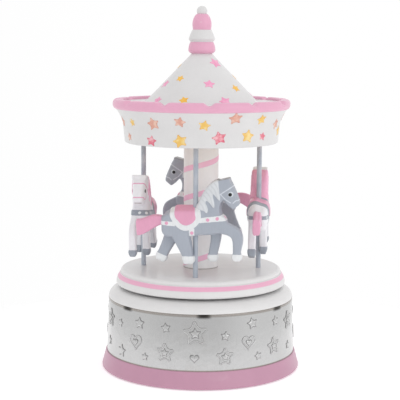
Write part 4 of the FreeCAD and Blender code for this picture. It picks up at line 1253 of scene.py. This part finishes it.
def add_horses():
    """Four horses of one carving, in place of the plain solids, turned and lifted as these are."""
    carving, home = carved_horse()
    finish_carving(carving)
    materials = {
        "grey_horse_paint": horse_paint("grey_horse_paint", coat_grey, grey_scheme),
        "white_horse_paint": horse_paint("white_horse_paint", coat_white, white_scheme),
    }
    slots = {part["node"]: part["material_slot"] for part in frame["record"]["subparts"]}
    front_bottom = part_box("horse_front")[0].z
    for quarter, side in enumerate(("front", "right", "back", "left")):
        node = "horse_" + side
        lift = Vector((0, 0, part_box(node)[0].z - front_bottom))
        horse = new_piece("carved_" + node, carving.copy(), "carousel", materials[slots[node]])
        horse.matrix_world = rotation(90 * quarter, "Z") @ Matrix.Translation(home + lift)
        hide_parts(node)


# Stage

floor_half = 2.5
floor_cells = 8
key_place = (0.85, -0.75, 0.4)
key_size = 0.8
key_power = 1.35
fill_place = (0.05, -1.1, 0.16)
fill_size = 0.6
fill_power = 0.45

# Greys of the studio: axis, span of directions along it, shares of the grey at its ends, and the grey
studio_greys = [
    ("X", (-0.8, -0.1), (1.0, 0.0), 0.92),
    ("Y", (-0.95, -0.35), (1.0, 0.0), 0.82),
    ("Z", (0.35, 0.8), (0.0, 1.0), 0.94),
]

# Camera, as fitted to the photograph's 400 x 400 frame
camera_azimuth = 5.0
camera_distance = 684.8 * MM
camera_height = 188.7 * MM
camera_pitch = 7.63
camera_yaw = 0.05
camera_roll = 0.3
camera_lens = 107.35
camera_sensor = 36.0


def make_floor():
    """Wide plain floor under the felt."""
    shape = bmesh.new()
    bmesh.ops.create_grid(shape, x_segments=floor_cells, y_segments=floor_cells, size=floor_half)
    floor = placed("floor", mesh_from(shape, "floor"))
    floor.data.materials.append(floor_board())


def make_light(name, place, size, power, mirrored):
    """Soft square lamp aimed at the middle of the object, mirrored in the silver or not."""
    data = bpy.data.lights.new(name, "AREA")
    data.size = size
    data.energy = power
    lamp = placed(name, data)
    aim = Vector((0, 0, cad_box[1].z / 2)) - Vector(place)
    lamp.visible_glossy = mirrored
    lamp.matrix_world = Matrix.Translation(place) @ aim.to_track_quat("-Z", "Y").to_matrix().to_4x4()


def make_world():
    """White studio, a little greyer to the left, in front and overhead, which the silver mirrors."""
    world = bpy.data.worlds.new("studio")
    bpy.context.scene.world = world
    world.use_nodes = True
    tree = world.node_tree
    direction = split(tree, tree.nodes.new("ShaderNodeTexCoord").outputs["Generated"])
    tone = grey(1.0)
    for axis, span, shares, level in studio_greys:
        tone = mixed(tree, ranged(tree, direction[axis], span, shares), tone, grey(level))
    fill(tree, tree.nodes["Background"], Color=tone, Strength=1.0)


def make_camera():
    """Camera at the photograph's place, a little above the horses and looking slightly down."""
    data = bpy.data.cameras.new("camera")
    data.lens = camera_lens
    data.sensor_width = camera_sensor
    camera = placed("camera", data)
    stand = rotation(camera_azimuth, "Z") @ Matrix.Translation((0, -camera_distance, camera_height))
    aim = rotation(camera_yaw, "Z") @ rotation(90 - camera_pitch, "X") @ rotation(camera_roll, "Z")
    camera.matrix_world = stand @ aim
    bpy.context.scene.camera = camera


dress_nodes()
add_stars("canopy_skirt", "carousel", skirt_stars)
add_stars("roof_cone", "carousel", cone_stars)
add_relief()
add_rolled_edge()
add_spiral()
add_platform_band()
add_rim()
add_horses()
make_floor()
make_light("key", key_place, key_size, key_power, True)
make_light("fill", fill_place, fill_size, fill_power, False)
make_world()
make_camera()
bpy.context.scene.view_settings.view_transform = "Standard"
